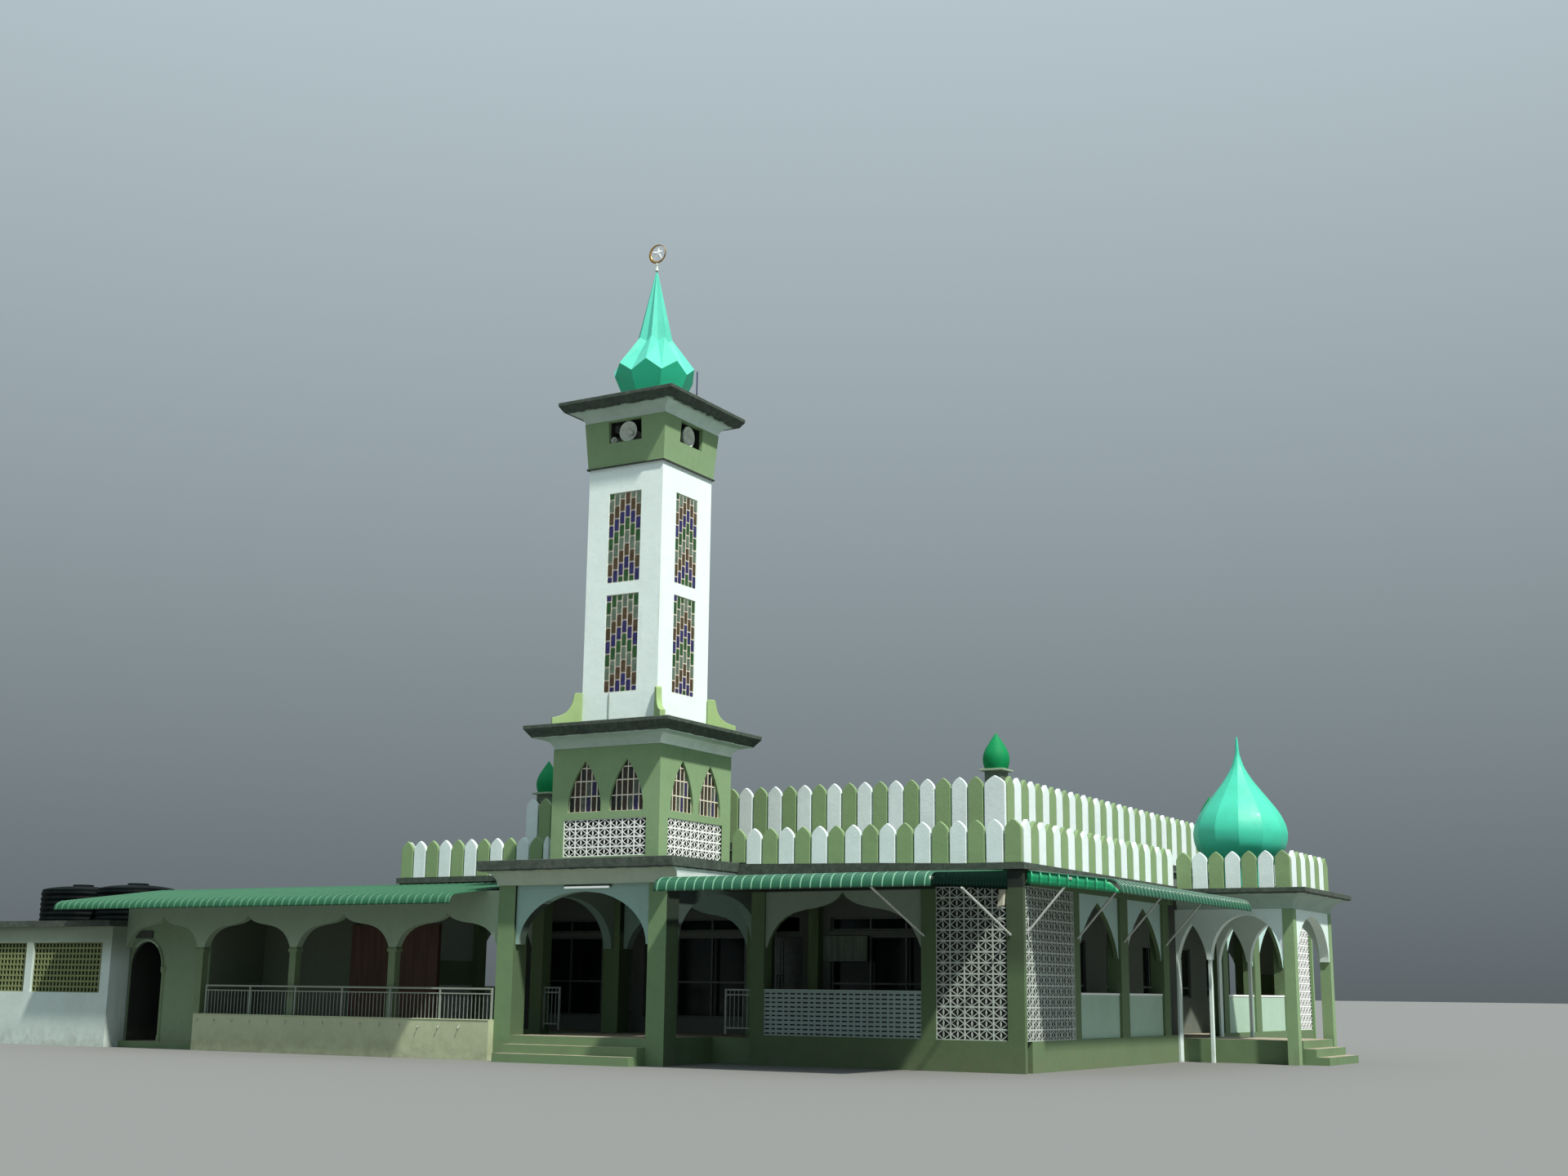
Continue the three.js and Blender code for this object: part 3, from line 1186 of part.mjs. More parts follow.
// The origin is moved to the middle of the footprint, on the ground
const bounds = new THREE.Box3().setFromObject(mosque);
mosque.position.set(-(bounds.min.x + bounds.max.x) / 2, -(bounds.min.y + bounds.max.y) / 2, -bounds.min.z);

export default mosque;
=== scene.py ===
"""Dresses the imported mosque: finishes for every solid, and blocks, glass, sheets, frames and domes
in full detail."""
import math

import bmesh
import bpy
import numpy as np
from mathutils import Matrix


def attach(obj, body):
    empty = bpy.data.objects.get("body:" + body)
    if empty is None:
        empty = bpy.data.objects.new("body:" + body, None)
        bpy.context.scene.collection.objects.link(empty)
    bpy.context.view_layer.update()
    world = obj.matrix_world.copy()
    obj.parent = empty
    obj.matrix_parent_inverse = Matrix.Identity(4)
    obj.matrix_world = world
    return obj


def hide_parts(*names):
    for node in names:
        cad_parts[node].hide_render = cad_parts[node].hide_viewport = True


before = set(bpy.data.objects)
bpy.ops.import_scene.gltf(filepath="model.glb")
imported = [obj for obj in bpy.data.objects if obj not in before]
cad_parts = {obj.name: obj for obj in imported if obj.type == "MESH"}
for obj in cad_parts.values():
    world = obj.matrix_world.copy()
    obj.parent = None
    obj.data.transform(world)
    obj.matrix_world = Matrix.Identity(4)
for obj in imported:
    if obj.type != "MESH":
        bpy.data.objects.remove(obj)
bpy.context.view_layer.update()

# Plan metres: the origin is on the ground at the verandah's near corner, X along the front, Y to
# the back.
# SHIFT takes the plan to the frame that the solids stand in.
SHIFT = np.array([13.06, -9.105, 0.0])
TX, TY = -9.3, -0.03
TOWER = np.array([TX, TY])
DEPTH = 21.8


# Shapes. Each is a pair: an (n, 3) array of points in plan metres, and a list of (m, k) arrays of
# corner numbers.

def gathered(*shapes):
    """Several shapes as one: their points end to end, each corner number moved on by the points
    before it."""
    points, faces, start = [], [], 0
    for own, own_faces in shapes:
        points.append(own)
        faces += [f + start for f in own_faces]
        start += len(own)
    return np.concatenate(points), faces


def grid(net, closed_u=False, closed_v=False):
    """Quads between the neighbouring points of an (m, n, 3) net. A closed direction joins its end
    to its start."""
    m, n = net.shape[:2]
    i = np.arange(m if closed_u else m - 1)[:, None]
    j = np.arange(n if closed_v else n - 1)[None, :]
    i1, j1 = (i + 1) % m, (j + 1) % n
    quads = np.stack(np.broadcast_arrays(i * n + j, i1 * n + j, i1 * n + j1, i * n + j1), -1)
    return net.reshape(-1, 3), [quads.reshape(-1, 4)]


def ended(net):
    """A net of closed rings, with a flat face over the first ring and over the last."""
    points, faces = grid(net, closed_v=True)
    n = net.shape[1]
    return points, faces + [np.arange(n)[None, :], np.arange(n)[None, :] + len(points) - n]


def turned(profile, x, y, sides=32, swell=None):
    """A profile of (radius, z) carried round the upright axis at (x, y), its radius times
    swell(angle)."""
    r, z = np.array(profile, float).T
    t = np.arange(sides) * 2 * np.pi / sides
    k = np.ones(sides) if swell is None else swell(t)
    r = np.maximum(r, 0.0006)
    return ended(np.stack([x + np.outer(r, k * np.cos(t)), y + np.outer(r, k * np.sin(t)),
                           np.outer(z, np.ones(sides))], -1))


def stacked(levels):
    """Rectangles (x0, x1, y0, y1, z) one above another, joined corner to corner and closed at both
    ends."""
    x0, x1, y0, y1, z = np.array(levels, float).T
    corners = ((x0, y0, z), (x1, y0, z), (x1, y1, z), (x0, y1, z))
    return ended(np.stack([np.stack(c, -1) for c in corners], 1))


def squared(profile):
    """A profile of (half width, z) carried round the tower's square."""
    return stacked([(TX - r, TX + r, TY - r, TY + r, z) for r, z in profile])


BOX_SIDES = np.array([[0, 3, 2, 1], [4, 5, 6, 7], [0, 1, 5, 4],
                      [1, 2, 6, 5], [2, 3, 7, 6], [3, 0, 4, 7]])
BOX_CORNERS = np.array([[0, 0, 0], [1, 0, 0], [1, 1, 0], [0, 1, 0],
                        [0, 0, 1], [1, 0, 1], [1, 1, 1], [0, 1, 1]])


def blocks(x0, x1, y0, y1, z0, z1):
    """Boxes, one for each entry: every corner takes the low or the high value on each axis."""
    v = np.broadcast_arrays(*[np.atleast_1d(np.asarray(a, float)) for a in (x0, x1, y0, y1, z0, z1)])
    x, y, z = np.stack(v[0:2], -1), np.stack(v[2:4], -1), np.stack(v[4:6], -1)
    i, j, k = BOX_CORNERS.T
    points = np.stack([x[:, i], y[:, j], z[:, k]], -1)
    faces = (np.arange(len(points)) * 8)[:, None, None] + BOX_SIDES
    return points.reshape(-1, 3), [faces.reshape(-1, 4)]


def walled(axis, u0, u1, a, b, z0, z1):
    """Boxes in a wall: u runs along the wall's axis, and a and b are the places of its two faces."""
    return blocks(u0, u1, a, b, z0, z1) if axis == "x" else blocks(a, b, u0, u1, z0, z1)


def laid(axis, u, w, z):
    """Points in a wall: u runs along the wall's axis, and w across it."""
    return np.stack([u, w, z] if axis == "x" else [w, u, z], -1)


def pads(u0, u1, z0, z1, back, face, inset):
    """Low blocks in a front wall, (u0, u1, z0, z1) at y = back and smaller by the inset all round
    at y = face."""
    u0, u1, z0, z1 = np.broadcast_arrays(*[np.atleast_1d(np.asarray(a, float)) for a in (u0, u1, z0, z1)])
    rings = []
    for y, s in ((back, 0.0), (face, inset)):
        rings += [np.stack([u, np.full_like(u, y), z], -1) for u, z in
                  ((u0 + s, z0 + s), (u1 - s, z0 + s), (u1 - s, z1 - s), (u0 + s, z1 - s))]
    points = np.stack(rings, 1)
    faces = (np.arange(len(points)) * 8)[:, None, None] + BOX_SIDES
    return points.reshape(-1, 3), [faces.reshape(-1, 4)]


def plate(outline, across, axis="x"):
    """Flat outlines of (u, z), (n, 2) or (m, n, 2), filled between the two planes of across; u runs
    along axis."""
    o = np.asarray(outline, float)
    o = o.reshape(-1, *o.shape[-2:])
    m, n = o.shape[:2]
    u, z = o[..., 0], o[..., 1]
    layers = [laid(axis, u, np.full_like(u, v), z) for v in across]
    base = (np.arange(m) * 2 * n)[:, None]
    k = np.arange(n)
    after = (k + 1) % n
    sides = np.stack([base + k, base + after, base + n + after, base + n + k], -1).reshape(-1, 4)
    return np.stack(layers, 1).reshape(-1, 3), [np.concatenate([base + k, base + n + k]), sides]


def swept(path, radius, normal=(0, 1, 0), sides=8):
    """A round bar: circles square to a flat path, set out from the path's plane normal and its own
    direction."""
    p = np.array(path, float)
    d = np.gradient(p, axis=0)
    d /= np.linalg.norm(d, axis=1)[:, None]
    side = np.array(normal, float)
    other = np.cross(d, side)
    other /= np.linalg.norm(other, axis=1)[:, None]
    t = np.arange(sides) * 2 * np.pi / sides
    r = np.broadcast_to(np.asarray(radius, float), (len(p),))[:, None, None]
    net = p[:, None] + r * (np.cos(t)[None, :, None] * side + np.sin(t)[None, :, None] * other[:, None])
    return ended(net)


def banded(inner, outer, near, far):
    """A flat band between two open lines of (x, z) with the same number of points, from y = near
    to y = far."""
    net = [np.insert(line, 1, y, axis=1)
           for line, y in ((inner, near), (outer, near), (outer, far), (inner, far))]
    return ended(np.stack(net, 1))


def cubic(*p, steps=12):
    """Points of a cubic curve: its four ends and handles, weighted by the powers of t and 1 - t."""
    t = np.linspace(0, 1, steps + 1)[:, None]
    a, b, c, d = [np.array(q, float) for q in p]
    return (1 - t) ** 3 * a + 3 * (1 - t) ** 2 * t * b + 3 * (1 - t) * t * t * c + t ** 3 * d


def cove(r0, z0, r1, z1, steps=14):
    """A quarter curve that leaves (r0, z0) upright and ends level at (r1, z1)."""
    t = np.linspace(0, np.pi / 2, steps + 1)
    return np.stack([r0 + (r1 - r0) * (1 - np.cos(t)), z0 + (z1 - z0) * np.sin(t)], 1).tolist()


def four_sides(shape):
    """One shape on all four faces of the tower: turned about its axis by quarter turns."""
    points, faces = shape
    made = []
    for c, s in ((1, 0), (0, 1), (-1, 0), (0, -1)):
        d = points[:, :2] - TOWER
        level = d @ np.array([[c, s], [-s, c]]) + TOWER
        made.append((np.column_stack([level, points[:, 2]]), faces))
    return gathered(*made)


def piece(name, shape, paints, tones=None, bevel=0.0, smooth=0.0, thick=0.0, replaces=(), body="building"):
    """Puts a shape into a mesh, faces outwards, and hangs it on its body. Tones give each face
    block's paint number."""
    points, faces = shape
    paints = paints if isinstance(paints, (list, tuple)) else [paints]
    mesh = bpy.data.meshes.new(name)
    mesh.from_pydata((points + SHIFT).tolist(), [], [c for f in faces for c in f.tolist()])
    for paint in paints:
        mesh.materials.append(paint)
    if tones is not None:
        index = np.concatenate([np.broadcast_to(t, (len(f),)) for t, f in zip(tones, faces)])
        mesh.polygons.foreach_set("material_index", index.astype(np.int32))
    if not thick:
        made = bmesh.new()
        made.from_mesh(mesh)
        bmesh.ops.recalc_face_normals(made, faces=made.faces)
        made.to_mesh(mesh)
        made.free()
    if smooth:
        mesh.shade_smooth()
        mesh.set_sharp_from_angle(angle=smooth)
    thing = bpy.data.objects.new(name, mesh)
    bpy.context.scene.collection.objects.link(thing)
    if thick:
        wall = thing.modifiers.new("thickness", "SOLIDIFY")
        wall.thickness = thick
        wall.offset = -1.0
    if bevel:
        edge = thing.modifiers.new("edges", "BEVEL")
        edge.width = bevel
        edge.segments = 2
        edge.limit_method = "ANGLE"
        edge.angle_limit = 0.7
    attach(thing, body)
    for node in replaces:
        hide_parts(node)
    return thing


# Finishes

def rgb(r, g, b):
    """A colour of 0 to 255 on a screen, as the linear values that a shader takes."""
    c = np.array([r, g, b], float) / 255
    return tuple(np.where(c <= 0.04045, c / 12.92, ((c + 0.055) / 1.055) ** 2.4)) + (1.0,)


def toned(screen, share, lift=0.0):
    """A screen colour's linear values times a share, plus a lift."""
    return tuple(min(1.0, c * share + lift) for c in rgb(*screen)[:3]) + (1.0,)


class Finish:
    """A finish's nodes. Every method adds one node or a few, and hands back an output."""

    def __init__(self, name, slot):
        self.material = bpy.data.materials.new(name)
        self.material["slot"] = slot
        self.material.use_nodes = True
        self.tree = self.material.node_tree
        self.tree.nodes.clear()
        coords = self.tree.nodes.new("ShaderNodeTexCoord")
        self.plan = self.add("ShaderNodeMapping", {"Vector": coords.outputs["Object"],
                                                   "Location": tuple(-SHIFT)}).outputs["Vector"]
        self.x, self.y, self.z = self.add("ShaderNodeSeparateXYZ", {"Vector": self.plan}).outputs
        facing = self.add("ShaderNodeSeparateXYZ", {"Vector": coords.outputs["Normal"]})
        self.nx, self.ny, self.nz = facing.outputs

    def add(self, kind, inputs, **settings):
        node = self.tree.nodes.new(kind)
        for key, value in settings.items():
            setattr(node, key, value)
        for key, value in inputs.items():
            if isinstance(value, bpy.types.NodeSocket):
                self.tree.links.new(value, node.inputs[key])
            else:
                node.inputs[key].default_value = value
        return node

    def calc(self, operation, a, b=0.0, c=0.0):
        return self.add("ShaderNodeMath", {0: a, 1: b, 2: c}, operation=operation).outputs[0]

    def ramp(self, value, low, high):
        """0 below low, 1 above high, and a smooth step between; low above high turns it round."""
        node = self.add("ShaderNodeMapRange", {"Value": value}, interpolation_type="SMOOTHSTEP")
        if low < high:
            node.inputs["From Min"].default_value, node.inputs["From Max"].default_value = low, high
        else:
            node.inputs["From Min"].default_value, node.inputs["From Max"].default_value = high, low
            node.inputs["To Min"].default_value, node.inputs["To Max"].default_value = 1.0, 0.0
        return node.outputs["Result"]

    def within(self, value, low, high, soft=0.004):
        rise = self.ramp(value, low - soft, low + soft)
        return self.calc("MULTIPLY", rise, self.ramp(value, high + soft, high - soft))

    def both(self, *masks):
        made = masks[0]
        for mask in masks[1:]:
            made = self.calc("MULTIPLY", made, mask)
        return made

    def either(self, *masks):
        made = masks[0]
        for mask in masks[1:]:
            made = self.calc("MAXIMUM", made, mask)
        return made

    def noise(self, scale, detail=3.0, rough=0.55, stretch=(1, 1, 1), shift=0.0):
        place = self.add("ShaderNodeMapping", {"Vector": self.plan, "Scale": stretch,
                                               "Location": (shift, shift, shift)}).outputs[0]
        return self.add("ShaderNodeTexNoise", {"Vector": place, "Scale": scale, "Detail": detail,
                                               "Roughness": rough}).outputs[0]

    def mix(self, share, a, b, blend="MIX"):
        """Colours a and b in a share. A plain triple is a screen colour."""
        a, b = [rgb(*v) if isinstance(v, tuple) and len(v) == 3 else v for v in (a, b)]
        return self.add("ShaderNodeMix", {0: share, 6: a, 7: b}, data_type="RGBA",
                        blend_type=blend).outputs[2]

    def spread(self, value, low, high):
        """A value of 0 to 1 laid out from low to high."""
        return self.add("ShaderNodeMapRange", {"Value": value, "To Min": low, "To Max": high}).outputs[0]

    def blotch(self, color, tint, share, low, high, *noise, blend="MIX", **more):
        """A tint over a colour, by a share, where a noise climbs from low to high."""
        cover = self.ramp(self.noise(*noise, **more), low, high)
        return self.mix(self.scaled(cover, share), color, tint, blend)

    def scaled(self, mask, amount):
        return self.calc("MULTIPLY", mask, amount)

    def bump(self, height, strength, distance, under=None):
        inputs = {"Height": height, "Strength": strength, "Distance": distance}
        if under is not None:
            inputs["Normal"] = under
        return self.add("ShaderNodeBump", inputs).outputs[0]

    def shade(self, color, roughness, normal=None, **constants):
        inputs = {"Base Color": color, "Roughness": roughness}
        inputs.update({k.replace("_", " "): v for k, v in constants.items()})
        if normal is not None:
            inputs["Normal"] = normal
        shader = self.add("ShaderNodeBsdfPrincipled", inputs)
        self.add("ShaderNodeOutputMaterial", {"Surface": shader.outputs[0]})
        return self.material


OLIVE = (131, 160, 118)
PALE = (188, 206, 196)
WHITE = (222, 240, 235)
# Painted shade: olive darkened for piers that stand in the canopies' shade.
SHADED = (98, 122, 86)
GRIME = (92, 98, 84)


def plaster(name, slot, base, zones=(), streaks=0.3, foot=0.35, fade=0.14, grain=0.25):
    """Painted plaster: colour zones, clouds of fading a metre across, rain streaks down the wall,
    splash dirt near the ground, and a trowelled grain for bump and roughness."""
    f = Finish(name, slot)
    color = base
    for mask, tint in zones:
        color = f.mix(mask(f), color, tint)
    fine = f.noise(7.0, 4.0, 0.6, shift=3.0)
    color = f.blotch(color, (150, 160, 146), fade, 0.35, 0.75, 0.8, 5.0, 0.6, blend="MULTIPLY")
    color = f.mix(f.scaled(f.ramp(fine, 0.4, 0.8), fade), color, (205, 208, 190), "MULTIPLY")
    rain = f.noise(2.6, 3.0, 0.6, stretch=(1.0, 1.0, 0.07), shift=7.0)
    patch = f.ramp(f.noise(0.5, 2.0, shift=11.0), 0.45, 0.7)
    color = f.mix(f.scaled(f.both(f.ramp(rain, 0.56, 0.8), patch), streaks), color, GRIME)
    splash = f.both(f.ramp(f.z, 0.75, 0.0), f.ramp(f.noise(4.0, 4.0, 0.65, shift=5.0), 0.3, 0.7))
    color = f.mix(f.scaled(splash, foot), color, (112, 106, 88))
    trowel = f.noise(28.0, 4.0, 0.65, shift=2.0)
    wave = f.bump(f.noise(2.2, 2.0), 0.25, 0.03)
    normal = f.bump(trowel, grain, 0.012, wave)
    return f.shade(color, f.spread(fine, 0.74, 0.92), normal)


def weathered(name, slot, dark_from, pale=PALE, right=None):
    """Cornice of painted concrete: pale up to a height, and above it the slab's edge gone dark with
    mould and rain. The line between them wanders by a centimetre, and dark runs reach down from
    it."""
    f = Finish(name, slot)
    wander = f.scaled(f.calc("SUBTRACT", f.noise(5.0, 3.0), 0.5), 0.035)
    height = f.calc("ADD", f.z, wander)
    edge = f.either(*[f.within(height, low, high, 0.006) for low, high in dark_from])
    # With right, faces that look to the right are painted paler: painted light where the sun and the
    # canopy's bounce light them.
    if right is not None:
        pale = f.mix(f.ramp(f.nx, 0.1, 0.3), pale, right)
    color = f.blotch(pale, (150, 158, 148), 0.22, 0.4, 0.75, 1.3, 5.0, 0.65, blend="MULTIPLY")
    runs = f.both(f.ramp(f.noise(3.0, 3.0, 0.6, stretch=(1, 1, 0.12), shift=4.0), 0.55, 0.78),
                  f.ramp(f.noise(0.6, 2.0, shift=9.0), 0.4, 0.65))
    color = f.mix(f.scaled(runs, 0.3), color, (96, 104, 92))
    mould = f.mix(f.ramp(f.noise(9.0, 6.0, 0.7), 0.35, 0.7), (54, 68, 58), (80, 88, 80))
    mould = f.blotch(mould, (42, 46, 42), 0.6, 0.5, 0.75, 2.0, 4.0, 0.6, shift=6.0)
    color = f.mix(edge, color, mould)
    normal = f.bump(f.noise(34.0, 5.0, 0.7), 0.35, 0.012, f.bump(f.noise(3.0, 3.0), 0.3, 0.03))
    return f.shade(color, 0.9, normal)


def gloss_paint(name, slot, base, second=None, rough=0.35, coat=0.3, dust=0.2, shine=0.5):
    """Gloss paint on metal or fine render: faint blotches, and dust gathered in patches."""
    f = Finish(name, slot)
    color = base
    if second is not None:
        mask, tint = second
        color = f.mix(mask(f), color, tint)
    color = f.blotch(color, (170, 190, 180), 0.28, 0.4, 0.75, 1.6, 4.0, 0.6, blend="MULTIPLY")
    color = f.blotch(color, (140, 148, 132), dust, 0.62, 0.8, 11.0, 5.0, 0.7, shift=4.0)
    level = f.spread(f.noise(6.0, 4.0, 0.6), rough - 0.07, rough + 0.15)
    normal = f.bump(f.noise(18.0, 3.0), 0.12, 0.01, f.bump(f.noise(2.5, 2.0), 0.2, 0.02))
    return f.shade(color, level, normal, Coat_Weight=coat, Coat_Roughness=0.15, Specular_IOR_Level=shine)


def recess(axis, planes):
    """The flat faces that lie in these planes and look along the axis: the arched infill and the
    dado walls, behind the piers' faces."""
    def mask(f):
        value, normal = (f.x, f.nx) if axis == "x" else (f.y, f.ny)
        lying = f.either(*[f.within(value, at - 0.004, at + 0.004, 0.002) for at in planes])
        return f.both(lying, f.ramp(f.calc("ABSOLUTE", normal), 0.4, 0.6))
    return mask


def above(mask, low, high):
    """The part of a mask between two heights."""
    return lambda f: f.both(mask(f), f.within(f.z, low, high))


def past(*masks, **climbs):
    """Where the masks hold and every named value has climbed, or fallen, from its first number to
    its second."""
    return lambda f: f.both(*[m(f) for m in masks],
                            *[f.ramp(getattr(f, k), *v) for k, v in climbs.items()])


def arcade_paint(name, planes, base=OLIVE, arch=PALE, dado=WHITE, more=()):
    """Olive piers, with other paints on the arched infill and on the dado walls."""
    infill_heights, dado_heights = (2.2, 3.7), (0.6, 1.6)
    zones = [(above(planes, *infill_heights), arch), (above(planes, *dado_heights), dado), *more]
    return plaster(name, "olive_paint", base, zones)


def off_axis(f, choice):
    """The lesser (MINIMUM) or greater (MAXIMUM) of the distances from the tower's middle along X
    and along Y."""
    return f.calc(choice, *[f.calc("ABSOLUTE", f.calc("SUBTRACT", v, at))
                            for v, at in ((f.x, TX), (f.y, TY))])


def porch_columns(f):
    """The minaret porch's four columns, at its corners."""
    return f.ramp(off_axis(f, "MINIMUM"), 1.764, 1.768)


def belfry_hollow(f):
    """The belfry's inner faces and the sides of its four openings."""
    return f.ramp(off_axis(f, "MAXIMUM"), 1.04, 1.02)


def domed_columns(f):
    """The domed porch's two outer columns."""
    ends = f.either(f.ramp(f.y, 9.54, 9.53), f.ramp(f.y, 12.46, 12.47))
    return f.both(f.ramp(f.x, 2.612, 2.618), ends)


# Painted shade: the front arcade's olive, infill and dado are painted darker for the shade under the front
# canopy. The corner column's top is darker still, and the beam above 3.64 m is near black.
front_paint = arcade_paint(
    "front_arcade_paint", recess("y", (0.06, 0.16)), (84, 107, 73), (134, 152, 136), (156, 174, 170),
    [(past(x=(-0.42, -0.38), z=(1.7, 2.4)), (62, 80, 55)), (past(z=(3.62, 3.66)), (26, 38, 30))])
rear_paint = arcade_paint("rear_arcade_paint", recess("y", (21.74, 21.64)))
# Painted shade: the right arcade's piers take the darkened olive.
right_paint = arcade_paint("right_arcade_paint", recess("x", (-0.06, -0.16)), SHADED, (186, 218, 212),
                           (172, 200, 180))
left_paint = arcade_paint("left_arcade_paint", recess("x", (-16.4, -16.3)))
# The climb of the normal's X on faces that look to the right, which the sun lights. The porch's walls and
# columns are painted darker than white and olive for the shade in the porch, and darker still where the sun
# lights them from the right: painted shade.
RIGHTWARD = (0.4, 0.5)
porch_paint = plaster("porch_paint", "white_paint", (142, 174, 164), [
    (past(nx=RIGHTWARD), (128, 150, 138)),
    (past(nx=RIGHTWARD, z=(2.7, 2.9), y=(-0.8, -1.1)), (48, 64, 58)),
    (porch_columns, (108, 136, 96)),
    (past(porch_columns, nx=RIGHTWARD), (76, 98, 68)),
    (past(porch_columns, nx=RIGHTWARD, z=(2.75, 2.95)), (26, 42, 27))])
domed_paint = plaster("domed_porch_paint", "white_paint", WHITE, [(domed_columns, OLIVE)])
olive_paint = plaster("olive_wall_paint", "olive_paint", OLIVE, streaks=0.25)
# Painted shade: the belfry's inner faces and the sides of its openings are painted near black for the dark
# inside.
belfry_paint = plaster("belfry_paint", "olive_paint", OLIVE, [(belfry_hollow, (34, 40, 34))],
                       streaks=0.25)
# Painted shade: the toilet wall is darker above 1.9 m, under the roof's overhang. Its right end, behind the
# wing's front, is near black for the dark seen through the doorway.
toilet_paint = plaster("toilet_wall_paint", "white_paint", (196, 212, 206), [
    (past(z=(1.9, 2.75)), (132, 146, 124)),
    (past(x=(-23.6, -23.5), y=(-2.1, -2.0)), (40, 46, 40))], streaks=0.4)
shaft_paint = plaster("minaret_shaft_paint", "white_paint", (236, 251, 246), streaks=0.15, fade=0.08)
# Painted shade: the hall walls, deep under the verandah, are painted dark grey for the dark inside.
hall_paint = plaster("hall_wall_paint", "white_paint", (104, 112, 104), streaks=0.15)
# Painted shade: the wing arcade is painted a dull green for the shade under the wing roof, and darker on
# its front faces up to the roof.
wing_paint = plaster("wing_wall_paint", "white_paint", (144, 166, 140), [
    (above(past(y=(-1.99, -2.01)), 0.1, 2.43), (112, 132, 98))], streaks=0.3)
# Painted shade: the wing's walls are painted dark for the shade under its roof. They are near black left of
# x -21.5, where the end room lies in the dark, and lighter on the faces that look to the front.
wing_wall_paint = plaster("wing_rear_paint", "white_paint", (96, 108, 90), [
    (past(x=(-21.2, -21.5)), (40, 46, 40)),
    (past(y=(-1.98, -2.0)), (120, 142, 112))], streaks=0.35)
block_paint = plaster("vent_block_paint", "white_paint", (246, 248, 246), streaks=0.12, fade=0.1,
                      grain=0.4)
# Painted shade: the vent blocks under the canopies are painted grey for the canopies' shade.
shaded_blocks = plaster("verandah_block_paint", "white_paint", (184, 194, 186), streaks=0.2, grain=0.4)
# Painted shade: the front dado's blocks are painted grey-green for the shade under the front canopy.
dado_blocks = plaster("dado_block_paint", "white_paint", (148, 168, 164), streaks=0.25, grain=0.4)
merlon_white = plaster("merlon_white_paint", "white_paint", (226, 238, 238), streaks=0.25, foot=0.0,
                       grain=0.4)
merlon_green = plaster("merlon_green_paint", "olive_paint", (131, 158, 112), streaks=0.3, foot=0.0,
                       grain=0.4)
fin_paint = plaster("fin_paint", "olive_paint", (150, 178, 120), streaks=0.3, foot=0.0)
counter_paint = plaster("counter_paint", "pale_paint", (176, 186, 152), [
    (past(z=(0.865, 0.87)), (140, 150, 138))], streaks=0.35)
slab_paint = weathered("verandah_slab_paint", "weathered_slab", [(4.0, 4.2), (4.81, 5.0)])
# The right colours paint the right-facing sides of the coves paler: painted light.
porch_cornice_paint = weathered("porch_cornice_paint", "pale_paint", [(4.05, 4.35)], (176, 192, 172),
                                right=(232, 248, 244))
mid_cornice_paint = weathered("mid_cornice_paint", "pale_paint", [(7.07, 7.4)], right=(246, 255, 250))
top_cornice_paint = weathered("top_cornice_paint", "pale_paint", [(14.76, 15.1)], right=(216, 236, 228))
domed_cornice_paint = weathered("domed_cornice_paint", "pale_paint", [(3.92, 4.12)], (164, 186, 174))
toilet_roof_paint = weathered("toilet_roof_paint", "weathered_slab", [(2.9, 3.2)])
# Painted shade: faces that look downwards, at the feet of the folds, take a deeper, darker green.
spire_paint = gloss_paint("spire_paint", "mint_paint", (84, 202, 178),
                          (past(nz=(0.02, -0.02)), (34, 200, 154)), rough=0.5, coat=0.1)
dome_paint = gloss_paint("dome_paint", "mint_paint", (62, 200, 168), rough=0.5, coat=0.08)
emerald_paint = gloss_paint("small_dome_paint", "emerald_paint", (2, 132, 76), rough=0.6, coat=0.0,
                            dust=0.05, shine=0.2)
post_paint = plaster("dome_post_paint", "weathered_slab", (92, 106, 90), [
    (past(z=(6.38, 6.4)), (150, 166, 142))], foot=0.0)


def sheet_paint(name, base, ribs_pale, rough=0.3, coat=0.3, crest=(132, 184, 154), glint=0.0, shine=0.5):
    """Green coated sheet: pale along the crests of its ribs (attribute fold), a painted highlight, dull
    dust along the flats, and a hard gloss. A glint share paints the crests near white as well where they
    turn up to the sky: a painted glint of the sun."""
    f = Finish(name, "roof_sheet")
    fold = f.add("ShaderNodeAttribute", {}, attribute_name="fold").outputs["Fac"]
    color = f.blotch(base, toned(base, 0.7), 0.4, 0.35, 0.75, 1.4, 4.0, 0.6)
    # Painted highlight: the rib crests are painted paler.
    color = f.mix(f.scaled(f.ramp(fold, 0.8, 0.98), ribs_pale), color, crest)
    # Painted glint: crests that turn up to the sky are painted near white.
    glint_mask = f.both(f.ramp(fold, 0.5, 0.95), f.ramp(f.nz, 0.4, 0.75))
    color = f.mix(f.scaled(glint_mask, glint), color, (250, 255, 252))
    color = f.blotch(color, (86, 120, 96), 0.25, 0.6, 0.8, 9.0, 5.0, 0.7)
    return f.shade(color, f.spread(f.noise(5.0), rough, rough + 0.2),
                   f.bump(f.noise(3.0, 2.0), 0.2, 0.02), Coat_Weight=coat, Coat_Roughness=0.12,
                   Specular_IOR_Level=shine)


def glass_tone(name, tint):
    """Pressed glass block: a deep colour, cloudier and lighter in patches, with a rippled face."""
    f = Finish(name, "coloured_glass")
    color = f.mix(f.ramp(f.noise(9.0, 3.0, 0.6), 0.35, 0.8), tint, toned(tint, 1.6, 0.01))
    normal = f.bump(f.noise(30.0, 2.0, stretch=(1, 1, 0.35)), 0.35, 0.01)
    return f.shade(color, f.spread(f.noise(14.0), 0.16, 0.36), normal)


